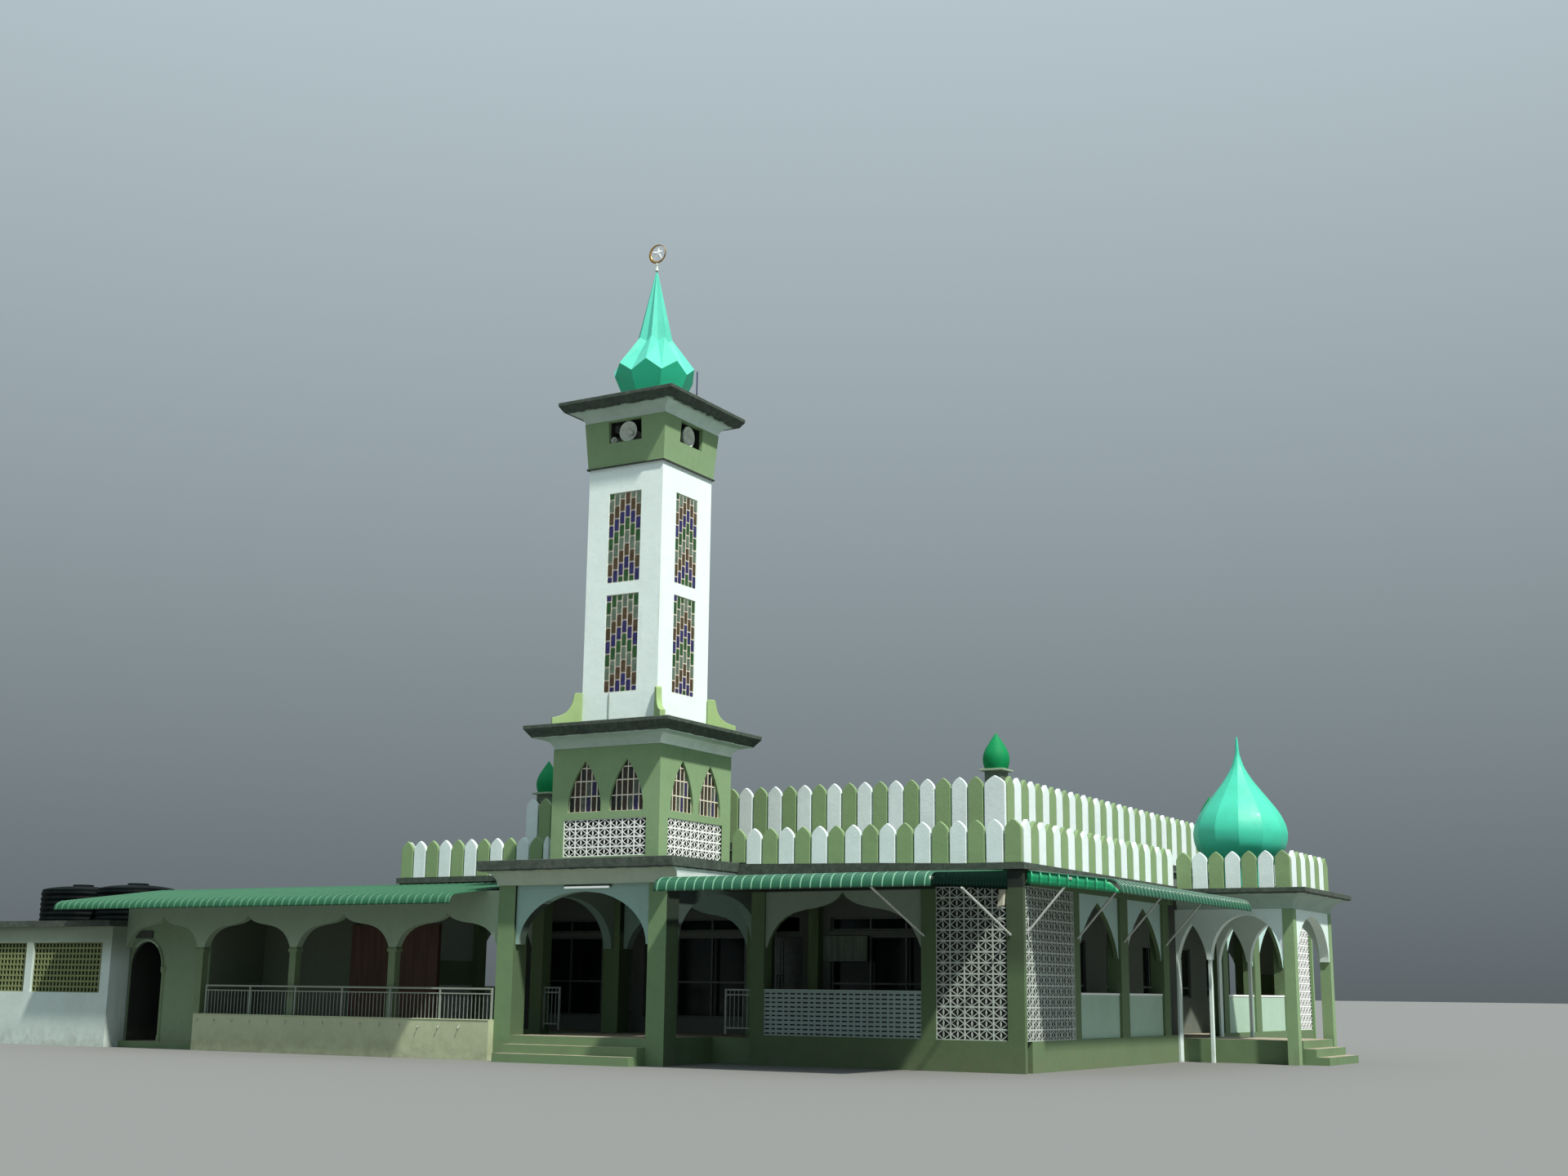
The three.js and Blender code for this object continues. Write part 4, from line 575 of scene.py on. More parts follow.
def dull_metal(name, base, metal=0.7, rough=0.45, slot="grey_metal"):
    """Metal with faint cloudiness, fine scratches for bump, and dust that dulls it."""
    f = Finish(name, slot)
    color = f.mix(f.ramp(f.noise(8.0, 4.0, 0.65), 0.35, 0.75), base, toned(base, 0.72))
    level = f.spread(f.noise(20.0, 4.0), rough - 0.1, rough + 0.2)
    return f.shade(color, level, f.bump(f.noise(60.0, 3.0), 0.15, 0.004), Metallic=metal)


def window_glass():
    """Dark window glass: nearly black green, with a faint film of dust and slight waves."""
    f = Finish("window_glass_finish", "window_glass")
    color = f.mix(f.ramp(f.noise(0.9, 3.0, 0.6), 0.35, 0.75), (14, 24, 22), (24, 34, 31))
    level = f.spread(f.noise(6.0, 4.0), 0.05, 0.18)
    return f.shade(color, level, f.bump(f.noise(1.2, 2.0), 0.1, 0.02), Specular_IOR_Level=0.25)


def floor_tile():
    """Fired tiles 30 cm square with pale joints on the level faces, and on the upright ones the plinth's
    olive, painted darker for the shade along the verandah: painted shade."""
    f = Finish("floor_tile_finish", "floor_tile")
    places = [f.calc("ABSOLUTE", f.calc("SUBTRACT", f.calc("FRACT", f.calc("DIVIDE", axis, 0.3)), 0.5))
              for axis in (f.x, f.y)]
    joint = f.either(*[f.ramp(place, 0.485, 0.492) for place in places])
    tile = f.mix(f.ramp(f.noise(3.4, 4.0, 0.6), 0.35, 0.7), (176, 166, 146), (150, 138, 118))
    tile = f.mix(f.scaled(joint, 0.8), tile, (206, 202, 190))
    wall = f.blotch((104, 130, 92), (84, 98, 66), 0.3, 0.4, 0.75, 1.2, 4.0)
    color = f.mix(f.ramp(f.calc("ABSOLUTE", f.nz), 0.4, 0.6), wall, tile)
    return f.shade(color, 0.6, f.bump(joint, 0.4, -0.004, f.bump(f.noise(20.0, 4.0), 0.2, 0.006)))


def milky_tube():
    """A lamp's tube: white glass with greyer dust in patches, and a faint glow that brightens it in the
    porch's shade: painted light.
    """
    f = Finish("lamp_tube_finish", "white_paint")
    color = f.mix(f.ramp(f.noise(6.0, 3.0), 0.4, 0.8), (250, 252, 250), (226, 230, 226))
    return f.shade(color, 0.3, f.bump(f.noise(40.0, 2.0), 0.1, 0.002), Emission_Color=(0.9, 1.0, 0.97, 1.0),
                   Emission_Strength=0.3)


def plastic(name, base, chalk):
    """Moulded plastic with little shine, chalky in bands where water has dried."""
    f = Finish(name, "tank_plastic")
    color = f.mix(f.ramp(f.noise(1.6, 4.0, 0.6, stretch=(1, 1, 0.3)), 0.45, 0.75), base, chalk)
    return f.shade(color, 0.6, f.bump(f.noise(24.0, 3.0), 0.2, 0.006), Specular_IOR_Level=0.05)


def board(name, base, slot="white_paint"):
    """Boards: a streaked grain along the upright and a dull face."""
    f = Finish(name, slot)
    grain = f.noise(9.0, 4.0, 0.6, stretch=(1.0, 1.0, 0.08))
    color = f.mix(f.ramp(grain, 0.35, 0.7), base, toned(base, 0.6))
    return f.shade(color, 0.7, f.bump(grain, 0.3, 0.006))


def gold_leaf(name):
    """Gold paint on metal, gone browner in patches."""
    f = Finish(name, "gold_metal")
    color = f.mix(f.ramp(f.noise(12.0, 4.0, 0.6), 0.4, 0.7), (186, 148, 84), (120, 98, 62))
    return f.shade(color, 0.4, f.bump(f.noise(40.0, 3.0), 0.2, 0.003), Metallic=0.75)


# Painted highlights on every sheet's crests, and a painted glint on the right canopy's.
sheet_green = sheet_paint("right_canopy_paint", (20, 86, 60), 0.4, crest=(150, 190, 170), glint=0.5)
sheet_front = sheet_paint("front_canopy_paint", (24, 92, 62), 0.85)
sheet_wing = sheet_paint("wing_roof_paint", (24, 90, 58), 0.35, 0.5, 0.0)
# Painted shade: the front canopy's end sheet is painted near black green, the canopy's green in its shade.
sheet_dark = sheet_paint("front_end_sheet_paint", (6, 28, 22), 0.04, 0.8, 0.0, shine=0.05)
# Painted light: the right canopy's end sheet is painted a bright green for sunlight shining through it.
sheet_end = sheet_paint("end_sheet_paint", (18, 158, 104), 0.25)
glass_dark = window_glass()
tile_finish = floor_tile()
tank_black = plastic("tank_finish", (6, 12, 12), (16, 24, 24))
lamp_white = milky_tube()
lamp_box = plastic("corner_lamp_finish", (206, 206, 190), (180, 180, 160))
steel_white, steel_grey, horn_grey, aluminium, brass_tap, rod_dark = [dull_metal(*row) for row in (
    ("strut_paint", (214, 218, 212), 0.1, 0.5), ("railing_paint", (146, 154, 148), 0.3, 0.45),
    ("horn_paint", (214, 222, 212), 0.0, 0.5), ("frame_finish", (96, 104, 100), 0.5, 0.4),
    ("tap_finish", (206, 206, 196), 0.2, 0.4), ("rod_finish", (42, 46, 84), 0.3, 0.5))]
gold = gold_leaf("finial_finish")
star_white = dull_metal("star_paint", (246, 250, 252), 0.0, 0.35, "gold_metal")
joint_white = plaster("glass_joint_paint", "white_paint", (224, 214, 198), foot=0.0)
leading = plaster("leading_paint", "white_paint", (226, 218, 198), foot=0.0, streaks=0.1)
# Painted shade: near black paint for the sheets and backings that stand in for the dark hollows behind
# vents, slots, lattice and glass.
hollow_dark = plaster("hollow_paint", "pale_paint", (22, 27, 24), foot=0.0, streaks=0.0)
GLASS = [glass_tone(name, tint) for name, tint in (
    ("brown_glass", (68, 54, 32)), ("blue_glass", (36, 34, 84)), ("green_glass", (34, 74, 34)),
    ("grey_glass", (86, 102, 88)))]
PANES = [glass_tone(name, tint) for name, tint in (
    ("brown_pane", (48, 38, 26)), ("blue_pane", (32, 30, 70)), ("dark_pane", (20, 26, 22)),
    ("grey_pane", (70, 78, 70)))]
lattice_paint = plaster("lattice_paint", "olive_paint", (120, 130, 84), foot=0.0)
sign_dark = board("signboard_finish", (62, 66, 60), "weathered_slab")
notice_pale = board("notice_board_finish", (124, 142, 126), "pale_paint")
door_brown = board("partition_finish", (92, 66, 50), "olive_paint")
column_green = board("inner_column_finish", (108, 132, 88), "olive_paint")


def dress(paint, *nodes):
    """Gives solids that keep their shape a finish."""
    for name in nodes:
        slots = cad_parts[name].data.materials
        slots.clear()
        slots.append(paint)


dress(front_paint, "front_right_arcade", "front_left_arcade")
dress(right_paint, "right_front_arcade", "right_rear_arcade")
dress(left_paint, "left_arcade")
dress(rear_paint, "rear_arcade")
dress(porch_paint, "porch_arcade")
dress(domed_paint, "domed_porch_arcade")
dress(olive_paint, "tower_base")
dress(belfry_paint, "belfry")
dress(shaft_paint, "minaret_shaft")
dress(toilet_paint, "toilet_block")
# Painted shade: the tower base's screens and the shaft's glass are painted near black for the dark inside.
dress(hollow_dark, "tower_base_screens", "shaft_glass")
dress(hall_paint, "hall_front_wall_left", "hall_front_wall_right", "hall_door_lintel", "hall_right_wall",
      "hall_left_wall", "hall_rear_wall")
dress(slab_paint, "verandah_roof", "hall_roof")
dress(toilet_roof_paint, "toilet_block_roof")
dress(glass_dark, "hall_glazing")
dress(aluminium, "hall_door_left", "hall_door_right")
dress(tile_finish, "raised_floor", "wing_floor")
dress(wing_paint, "wing_arcade")
dress(wing_wall_paint, "wing_walls")
dress(counter_paint, "washing_counter")


# Merlon rows

HEAD = np.array([(1.0, -0.225), (0.95, -0.165), (0.71, -0.105), (0.4, -0.05), (0.0, 0.0)])


def merlon_row(u0, u1, count, line, depth, z0, tip, axis, first):
    """Pointed slabs at even steps, their heads swelling before they meet in the point, in two
    paints by turns."""
    pitch = (u1 - u0) / count
    half = pitch / 2 - 0.019
    right = HEAD * (half, 1) + (0, tip)
    left = (right[::-1] * (-1, 1))[1:]
    one = np.concatenate([[(-half, z0), (half, z0)], right, left])
    middle = np.stack([u0 + pitch * (np.arange(count) + 0.5), np.zeros(count)], 1)
    slabs = plate(one[None] + middle[:, None], (line, line + depth), axis)
    a, b = sorted((line + 0.2 * depth, line + 0.8 * depth))
    kerb = walled(axis, u0 + 0.02, u1 - 0.02, a, b, z0, z0 + 0.055)
    tone = (np.arange(count) + first) % 2
    return gathered(slabs, kerb), [np.tile(tone, 2), np.repeat(tone, len(one)), 0]


def parapet(name, *rows):
    shape = gathered(*[row for row, _ in rows])
    tones = [t for _, row_tones in rows for t in row_tones]
    piece(name + "_merlons", shape, [merlon_green, merlon_white], tones, bevel=0.012, replaces=[name])


# Foot and tip of the rows: on the verandah's roof, on the hall's, and on the domed porch's
LOWER, UPPER, PORCH_ROW = (4.1403, 5.03), (4.9803, 6.276), (4.0603, 4.96)
parapet("lower_parapet_front_right",
        merlon_row(-6.919, -6.545, 1, 0.0, 0.09, 4.2805, 5.03, "x", 0),
        merlon_row(-6.545, 0.0, 16, 0.0, 0.09, *LOWER, "x", 1))
parapet("lower_parapet_front_left",
        merlon_row(-16.46, -12.115, 11, 0.0, 0.09, *LOWER, "x", 0),
        merlon_row(-12.115, -11.92, 1, 0.0, 0.09, *LOWER, "x", 1))
parapet("lower_parapet_rear", merlon_row(-16.46, 0.0, 41, 21.8, -0.09, *LOWER, "x", 0))
parapet("lower_parapet_left", merlon_row(0.0903, 21.7097, 53, -16.46, 0.09, *LOWER, "y", 1))
parapet("lower_parapet_right",
        merlon_row(0.0903, 9.3, 23, 0.0, -0.09, *LOWER, "y", 1),
        merlon_row(0.0606, 2.88, 7, 9.27, 0.09, *PORCH_ROW, "x", 0),
        merlon_row(9.365, 12.635, 8, 2.88, -0.09, *PORCH_ROW, "y", 1),
        merlon_row(0.0606, 2.88, 7, 12.73, -0.09, *PORCH_ROW, "x", 0),
        merlon_row(12.7, 21.7097, 23, 0.0, -0.09, *LOWER, "y", 0))
parapet("upper_parapet_front", merlon_row(-14.875, -2.115, 32, 2.83, 0.09, *UPPER, "x", 1),
        merlon_row(-2.115, -1.585, 1, 2.83, 0.09, *UPPER, "x", 1))
parapet("upper_parapet_rear", merlon_row(-14.875, -1.585, 33, 18.97, -0.09, *UPPER, "x", 1))
parapet("upper_parapet_right", merlon_row(2.9203, 18.8797, 39, -1.585, -0.09, *UPPER, "y", 0))
parapet("upper_parapet_left", merlon_row(2.9203, 18.8797, 39, -14.875, 0.09, *UPPER, "y", 0))


# Cornices of the porch, the minaret and the domed porch

def porch_cove():
    """The porch's cornice, a cove on three sides. On the right its foot stands out, under a nearly
    upright face."""
    levels = [(1.81, 1.81, 4.1), (1.81, 1.81, 3.7503)]
    levels += [(r, np.interp(z, (3.7503, 3.79, 3.96, 4.045), (2.27, 2.5, 2.53, 2.56)), z)
               for r, z in cove(2.27, 3.7503, 2.52, 4.045)]
    levels += [(2.6, 2.6, 4.07), (2.6, 2.6, 4.28)]
    return stacked([(TX - r, TX + right, TY - r, TY + r, z) for r, right, z in levels])


piece("porch_cornice", porch_cove(), porch_cornice_paint, bevel=0.014, smooth=0.5,
      replaces=["porch_roof"])
mid_profile = [(1.276, 7.1), (1.276, 6.8203), *cove(1.456, 6.8203, 1.82, 7.06), (1.97, 7.26), (1.97, 7.34)]
piece("mid_cornice", squared(mid_profile), mid_cornice_paint, bevel=0.014, smooth=0.5,
      replaces=["tower_mid_slab"])
top_profile = [(0.87, 14.78), (0.87, 14.5203), *cove(1.137, 14.5203, 1.5, 14.77), (1.6, 14.92), (1.6, 15.0)]
piece("top_cornice", squared(top_profile), top_cornice_paint, bevel=0.012, smooth=0.5,
      replaces=["belfry_roof"])
rod = [(0.022, 15.0), (0.022, 15.03), (0.017, 15.05), (0.017, 15.86), (0.003, 15.892)]
piece("lightning_rod", turned(rod, -8.2, 0.17, 12), rod_dark, smooth=0.6, replaces=["belfry_roof"])
levels = [(0.3603, 2.62, 9.53, 12.47, 3.9), (0.3603, 2.62, 9.53, 12.47, 3.5803)]
levels += [(0.0603, 2.88 + r, 9.27 - r, 12.73 + r, z) for r, z in
           [*cove(0.0, 3.5803, 0.33, 3.9), (0.43, 3.95), (0.43, 4.06)]]
piece("domed_porch_cornice", stacked(levels), domed_cornice_paint, bevel=0.012, smooth=0.5,
      replaces=["domed_porch_roof"])
kerb = [(-6.69, 4.1408), (-1.0, 4.1408), (-3.2, 4.2), (-6.69, 4.26)]
piece("front_slab_kerb", plate(kerb, (-0.012, -0.002)), porch_cornice_paint)


def fins():
    """Four fins on the tower's diagonals: a flat head, a hollow curve down and out, and a short
    upright end."""
    start = 1.03 * math.sqrt(2) + 0.003
    curve = cubic((start + 0.68, 7.55), (start + 0.374, 7.61), (start + 0.245, 7.74), (start + 0.204, 8.02))
    outline = np.concatenate([[(start, 7.3403), (start + 0.68, 7.3403)], curve,
                              [(start + 0.19, 8.1), (start + 0.16, 8.14), (start, 8.14)]])
    made = []
    for turn in range(4):
        a = math.pi / 4 + turn * math.pi / 2
        flat, faces = plate(outline, (-0.065, 0.065))
        s, w, z = flat.T
        made.append((np.column_stack([TX + s * math.cos(a) - w * math.sin(a),
                                      TY + s * math.sin(a) + w * math.cos(a), z]), faces))
    return gathered(*made)


piece("tower_fins", fins(), fin_paint, bevel=0.012, replaces=["tower_mid_slab"])


# Vent blocks: a grid of joints, a diamond in every cell, and a slim lozenge inside it

def vent_cells(u0, z0, w, h, columns, rows):
    """Outlines of the bars of each cell: four sides of a diamond that meets the cell's edges, and
    the lozenge."""
    outer = np.array([(0.5, 0), (0, 0.5), (-0.5, 0), (0, -0.5)])
    inner = outer * 0.8
    sides = [np.array([outer[k], outer[(k + 1) % 4], inner[(k + 1) % 4], inner[k]]) for k in range(4)]
    slim = np.array([(0.065, 0), (0, 0.37), (-0.065, 0), (0, -0.37)])
    unit = np.stack(sides + [slim]) * (w, h)
    i, j = np.meshgrid(np.arange(columns), np.arange(rows), indexing="ij")
    middle = np.stack([u0 + (i.ravel() + 0.5) * w, z0 + (j.ravel() + 0.5) * h], 1)
    return (unit[None] + middle[:, None, None]).reshape(-1, 4, 2)


def vent_screen(u0, u1, z0, z1, columns, rows, across, axis="x"):
    """Vent blocks filling an opening, with a bar along every joint."""
    w, h = (u1 - u0) / columns, (z1 - z0) / rows
    whole = int(columns)
    cells = vent_cells(u0, z0, w, h, whole, rows)
    if columns > whole:
        cells = np.concatenate([cells, vent_cells(u0 + whole * w, z0, w * (columns - whole), h, 1, rows)])
    half_joint = 0.016
    lift = 0.003 if across[1] > across[0] else -0.003
    shift = (across[0] + lift, across[1] - lift)
    us = np.minimum(u0 + np.arange(whole + 2) * w, u1)
    zs = z0 + np.arange(rows + 1) * h
    a, b = sorted(across)
    upright = [np.clip(us + d, u0, u1) for d in (-half_joint, half_joint)]
    level = [np.clip(zs + 1.1 * d, z0, z1) for d in (-half_joint, half_joint)]
    return gathered(plate(cells, shift, axis), walled(axis, *upright, a, b, z0, z1),
                    walled(axis, u0, u1, a + 0.001, b - 0.001, *level))


SCREEN_FOOT, SCREEN_HEAD, SCREEN_ROWS = 0.6203, 3.6797, 14


def screen_piece(name, u0, u1, columns, faces, dark, axis, paint, replaces=()):
    """Screens of vent blocks between the planes of faces, and the darkness of their holes as a
    sheet behind."""
    z0, z1 = SCREEN_FOOT, SCREEN_HEAD
    sheet = walled(axis, u0, u1, *sorted(dark), z0, z1)
    screens = [vent_screen(u0, u1, z0, z1, columns, SCREEN_ROWS, face, axis) for face in faces]
    shape = gathered(*screens, sheet)
    piece(name, shape, [paint, hollow_dark], [0] * (len(shape[1]) - 1) + [1], replaces=replaces)


def open_screen(name, node, u0, u1, columns, line, out, axis):
    """Two screens back to back."""
    faces = [(line, line - out * 0.016), (line - out * 0.098, line - out * 0.082)]
    dark = (line - out * 0.02, line - out * 0.078)
    screen_piece(name, u0, u1, columns, faces, dark, axis, shaded_blocks, [node])


open_screen("front_vent_blocks", "front_vent_panel", -1.9497, -0.3703, 5, 0.0205, -1, "x")
open_screen("right_vent_blocks", "right_vent_panel", 0.1203, 2.7097, 8.5, -0.0005, 1, "y")
tower_vents = vent_screen(TX - 1.11, TX + 1.11, 4.4, 5.22, 7, 4, (TY - 1.44, TY - 1.424))
piece("tower_vent_blocks", four_sides(tower_vents), block_paint)


def blind_screen(name, u0, u1, line, out, axis):
    """A screen a few centimetres in front of a closed panel."""
    faces = [(line + out * 0.045, line + out * 0.029)]
    dark = (line + out * 0.001, line + out * 0.025)
    screen_piece(name, u0, u1, round((u1 - u0) / 0.316), faces, dark, axis, block_paint)


for side, *place in (
        ("right_rear", 19.09, 21.43, -0.06, 1, "y"), ("left_front", 0.371, 2.71, -16.4, -1, "y"),
        ("left_rear", 19.09, 21.43, -16.4, -1, "y"), ("rear_right", -1.95, -0.37, 21.74, 1, "x"),
        ("rear_left", -16.09, -14.51, 21.74, 1, "x")):
    blind_screen(side + "_vent_blocks", *place)


DADO_FOOT, DADO_TOP, COPING_TOP = 0.62, 1.54, 1.585


def slot_wall(u0, u1, line, out):
    """A dado of slotted blocks along X: level strips between the slots, and short posts that part
    them."""
    z0, z1, columns, rows = DADO_FOOT, DADO_TOP, 24, 10
    w, h = (u1 - u0) / columns, (z1 - z0) / rows
    slot_w, slot_h = 0.72 * w, 0.34 * h
    a, b = sorted((line, line + out * 0.03))
    zs = z0 + np.arange(rows + 1) * h
    half = (h - slot_h) / 2
    strips = blocks(u0, u1, a, b, np.maximum(zs - half, z0), np.minimum(zs + half, z1))
    us = u0 + np.arange(columns + 1) * w
    nudge = np.where(np.arange(columns + 1) % 2, 0.35, -0.35) * (w - slot_w) / 2
    nudge[[0, -1]] = 0
    left = np.maximum(us - (w - slot_w) / 2 + nudge, u0)
    right = np.minimum(us + (w - slot_w) / 2 + nudge, u1)
    posts = blocks(left, right, a + 0.001, b - 0.001, z0, z1)
    # Painted shade: a near black sheet behind the slots for the dark behind them.
    back = blocks(u0, u1, *sorted((line - out * 0.004, line - out * 0.0005)), z0, z1)
    coping = blocks(u0, u1, a - 0.012, b + 0.004, z1, COPING_TOP)
    return gathered(strips, posts, back, coping), [0, 0, 1, 0]


shape, tones = slot_wall(-6.04, -2.28, 0.055, -1)
piece("front_dado_blocks", shape, [dado_blocks, hollow_dark], tones)
REAR_BAY = 4.0833
rear_bays = [(-2.28 - REAR_BAY * (i + 1) + 0.33, -2.28 - REAR_BAY * i) for i in range(3)]
for i, (u0, u1) in enumerate(rear_bays):
    shape, tones = slot_wall(u0, u1, 21.745, 1)
    piece(f"rear_dado_blocks_{i}", shape, [block_paint, hollow_dark], tones)


def side_copings():
    """White caps on the dado walls of the long sides."""
    bays = [(3.04, 5.51), (6.0, 8.39)]
    bays += [(DEPTH - b, DEPTH - a) for a, b in bays]
    made = [blocks(-0.172, -0.046, a, b, DADO_TOP, COPING_TOP) for a, b in bays]
    bays += [(8.8, 10.735), (11.065, 13.0)]
    made += [blocks(-16.414, -16.288, a, b, DADO_TOP, COPING_TOP) for a, b in bays]
    return gathered(*made)


piece("dado_copings", side_copings(), block_paint, bevel=0.006)


# Glass of the minaret

def glass_bricks(z0, z1, start):
    """Upright glass blocks in six columns, every other one half a block lower, in bands of four
    colours that bend down from the fourth column. A tone is the row less half the distance from
    that column, by turns of four."""
    pitch, rise, joint = 0.15, 0.304, 0.016
    cols = np.arange(6)
    rows = np.arange(-1, int((z1 - z0) / rise) + 2)
    c, r = [a.ravel() for a in np.meshgrid(cols, rows, indexing="ij")]
    row = r - 0.5 * (c % 2 == 0)
    top = z1 - row * rise
    low, high = np.maximum(top - rise, z0) + joint, np.minimum(top, z1) - joint
    keep = high - low > 0.03
    c, row, low, high = c[keep], row[keep], low[keep], high[keep]
    u = TX - 0.45 + c * pitch
    tone = (np.floor(row - 0.5 * np.abs(c - 3) - start + 8.01)).astype(int) % 4
    y = TY - 1.024
    bricks = pads(u + 0.017, u + pitch - 0.017, low, high, y + 0.02, y, 0.005)
    return bricks, np.repeat(tone, 6)


shapes, tones = [], []
for z0, z1, start in ((10.65, 12.78, 0), (8.11, 10.37, 1)):
    bricks, tone = glass_bricks(z0, z1, start)
    bed = blocks(TX - 0.45, TX + 0.45, TY - 1.012, TY - 0.985, z0, z1)
    shapes += [bricks, bed]
    tones += [tone, 4]
piece("shaft_glass_bricks", four_sides(gathered(*shapes)), GLASS + [joint_white], tones * 4)


def leaded_panes():
    """Panes behind the base's lancets: six columns and five rows of dark colours, with pale bars
    over the joints."""
    sill, y, wide = 5.38, TY - 1.39, 0.45
    heights = sill + np.array([0.0, 0.35, 0.69, 0.98, 1.14])
    shapes, tones = [], []
    pattern = np.array([[2, 0, 3, 1, 0, 2], [0, 0, 0, 3, 1, 2], [2, 0, 2, 0, 3, 1], [2, 2, 0, 2, 2, 0]])
    for side, middle in enumerate((TX - 0.565, TX + 0.565)):
        left, right = middle - wide, middle + wide
        u = left + np.arange(6) * 0.15
        for row in range(4):
            z0, z1 = heights[row:row + 2]
            shapes.append(pads(u + 0.008, u + 0.142, z0 + 0.008, z1 - 0.008, y + 0.012, y, 0.006))
            tones.append(np.repeat(np.roll(pattern[row], side), 6))
        edge = left + np.arange(7) * 0.15
        shapes += [blocks(edge - 0.012, edge + 0.012, y - 0.008, y + 0.004, sill, heights[-1]),
                   blocks(left, right, y - 0.01, y + 0.004, heights[:4] - 0.013, heights[:4] + 0.013),
                   blocks(left, right, y + 0.012, y + 0.022, sill, heights[-1]),
                   blocks(left - 0.01, right + 0.01, TY - 1.445, TY - 1.33, sill - 0.02, sill + 0.004)]
        tones += [4, 4, 4, 4]
    return gathered(*shapes), tones


shape, tones = leaded_panes()
piece("tower_leaded_panes", four_sides(shape), PANES + [leading], tones * 4)


# Spire

def folded_spire():
    """Rings of sixteen corners. Even corners lie on the valleys, odd ones on the ridges: each ring
    gives the two radii and heights, and the five-sided faces at the foot are flat."""
    flat = math.cos(math.pi / 8)
    rings = np.array([(0.6, 15.0003, 0.6 * flat, 15.0003), (0.946, 15.767, 0.976, 16.011),
                      (0.356, 16.654, 0.426, 16.765), (0.03, 18.45, 0.04, 18.45),
                      (0.004, 18.55, 0.004, 18.55)])
    k = np.arange(16)
    odd = (k % 2)[None, :]
    r = np.where(odd, rings[:, 2:3], rings[:, 0:1])
    z = np.where(odd, rings[:, 3:4], rings[:, 1:2])
    a = k * np.pi / 8
    return ended(np.stack([TX + r * np.cos(a), TY + r * np.sin(a), z], -1))


piece("spire_shell", folded_spire(), spire_paint, bevel=0.012, replaces=["spire"])


# Belfry horns, drip pipe and lips

def bell(mouth, radius, depth, x, z):
    """A shallow cone with a rounded rim and a small core, all one turned profile about a level
    axis."""
    neck = radius * 0.33
    profile = [(0.0, 0.1), (0.04, 0.1), (0.05, 0.13), (0.05, 0.2), (radius * 0.45, 0.14),
               (radius * 0.75, 0.07), (radius - 0.015, 0.012), (radius - 0.006, 0.0), (radius, 0.006),
               (radius, 0.02), (radius * 0.8, 0.1), (radius * 0.5, 0.2), (neck, depth * 0.7),
               (neck, depth), (0.0, depth)]
    points, faces = turned(profile, 0, 0, 28)
    a, b, d = points.T
    return np.column_stack([x + a, TY - mouth + d, z + b]), faces


HORN_Z = 14.235
horns = bell(1.03, 0.245, 0.9, TX + 0.02, HORN_Z)
small = bell(1.05, 0.075, 0.3, TX - 0.37, HORN_Z - 0.17)
mast = turned([(0.045, 13.51), (0.045, HORN_Z + 0.06)], *TOWER, 12)
piece("belfry_horns", gathered(four_sides(horns), small, mast), horn_grey, smooth=0.6,
      replaces=["loudspeakers"])
lip = blocks(TX - 1.085, TX + 1.085, TY - 1.09, TY - 1.04, 13.405, 13.432)
piece("belfry_lip", four_sides(lip), sign_dark)
pipe = [(TX - 0.28, TY - 1.045, z) for z in (8.1, 7.9, 7.7, 7.36)]
piece("drip_pipe", swept(pipe, 0.009), steel_grey, smooth=0.6)


# Finial: a ring that thins towards one side, and a five-pointed star with raised middles

def finial_ring():
    """Ring between two circles whose centres differ: its half width follows the angle, its section
    is an ellipse."""
    t = np.linspace(0, 2 * np.pi, 65)[:-1]
    outer = np.stack([0.245 * np.cos(t), 0.245 * np.sin(t)], 1)
    inner = np.stack([0.024 + 0.2 * np.cos(t), 0.012 + 0.2 * np.sin(t)], 1)
    middle, half = (outer + inner) / 2, (outer - inner) / 2
    s = np.linspace(0, 2 * np.pi, 11)[:-1]
    level = middle[:, None] + half[:, None] * np.cos(s)[None, :, None]
    depth = np.broadcast_to(0.022 * np.sin(s), level.shape[:2])
    net = np.stack([TX + level[..., 0], TY + depth, 18.99 + level[..., 1]], -1)
    return grid(net, closed_u=True, closed_v=True)


def finial_star():
    """Ten corners by turns far and near, and a raised middle on either face."""
    k = np.arange(10)
    r = np.where(k % 2, 0.08, 0.22)
    a = np.pi / 2 + k * np.pi / 5
    x, z = TX + 0.02 + r * np.cos(a), 19.0 + r * np.sin(a)
    ring = np.column_stack([x, np.full(10, TY), z])
    tips = np.array([[TX + 0.02, TY - 0.02, 19.0], [TX + 0.02, TY + 0.02, 19.0]])
    after = (k + 1) % 10
    front = np.stack([k, after, np.full(10, 10)], 1)
    rear = np.stack([after, k, np.full(10, 11)], 1)
    return np.concatenate([ring, tips]), [front, rear]


stem = turned([(0.05, 18.5503), (0.05, 18.57), (0.03, 18.6), (0.024, 18.68), (0.036, 18.7),
               (0.024, 18.72), (0.02, 18.76)], *TOWER, 16)
piece("finial_ring", finial_ring(), gold, smooth=0.7, replaces=["crescent_finial"])
piece("finial_stem", stem, horn_grey, smooth=0.6, replaces=["crescent_finial"])
piece("finial_star", finial_star(), star_white, replaces=["crescent_finial"])


# Domes

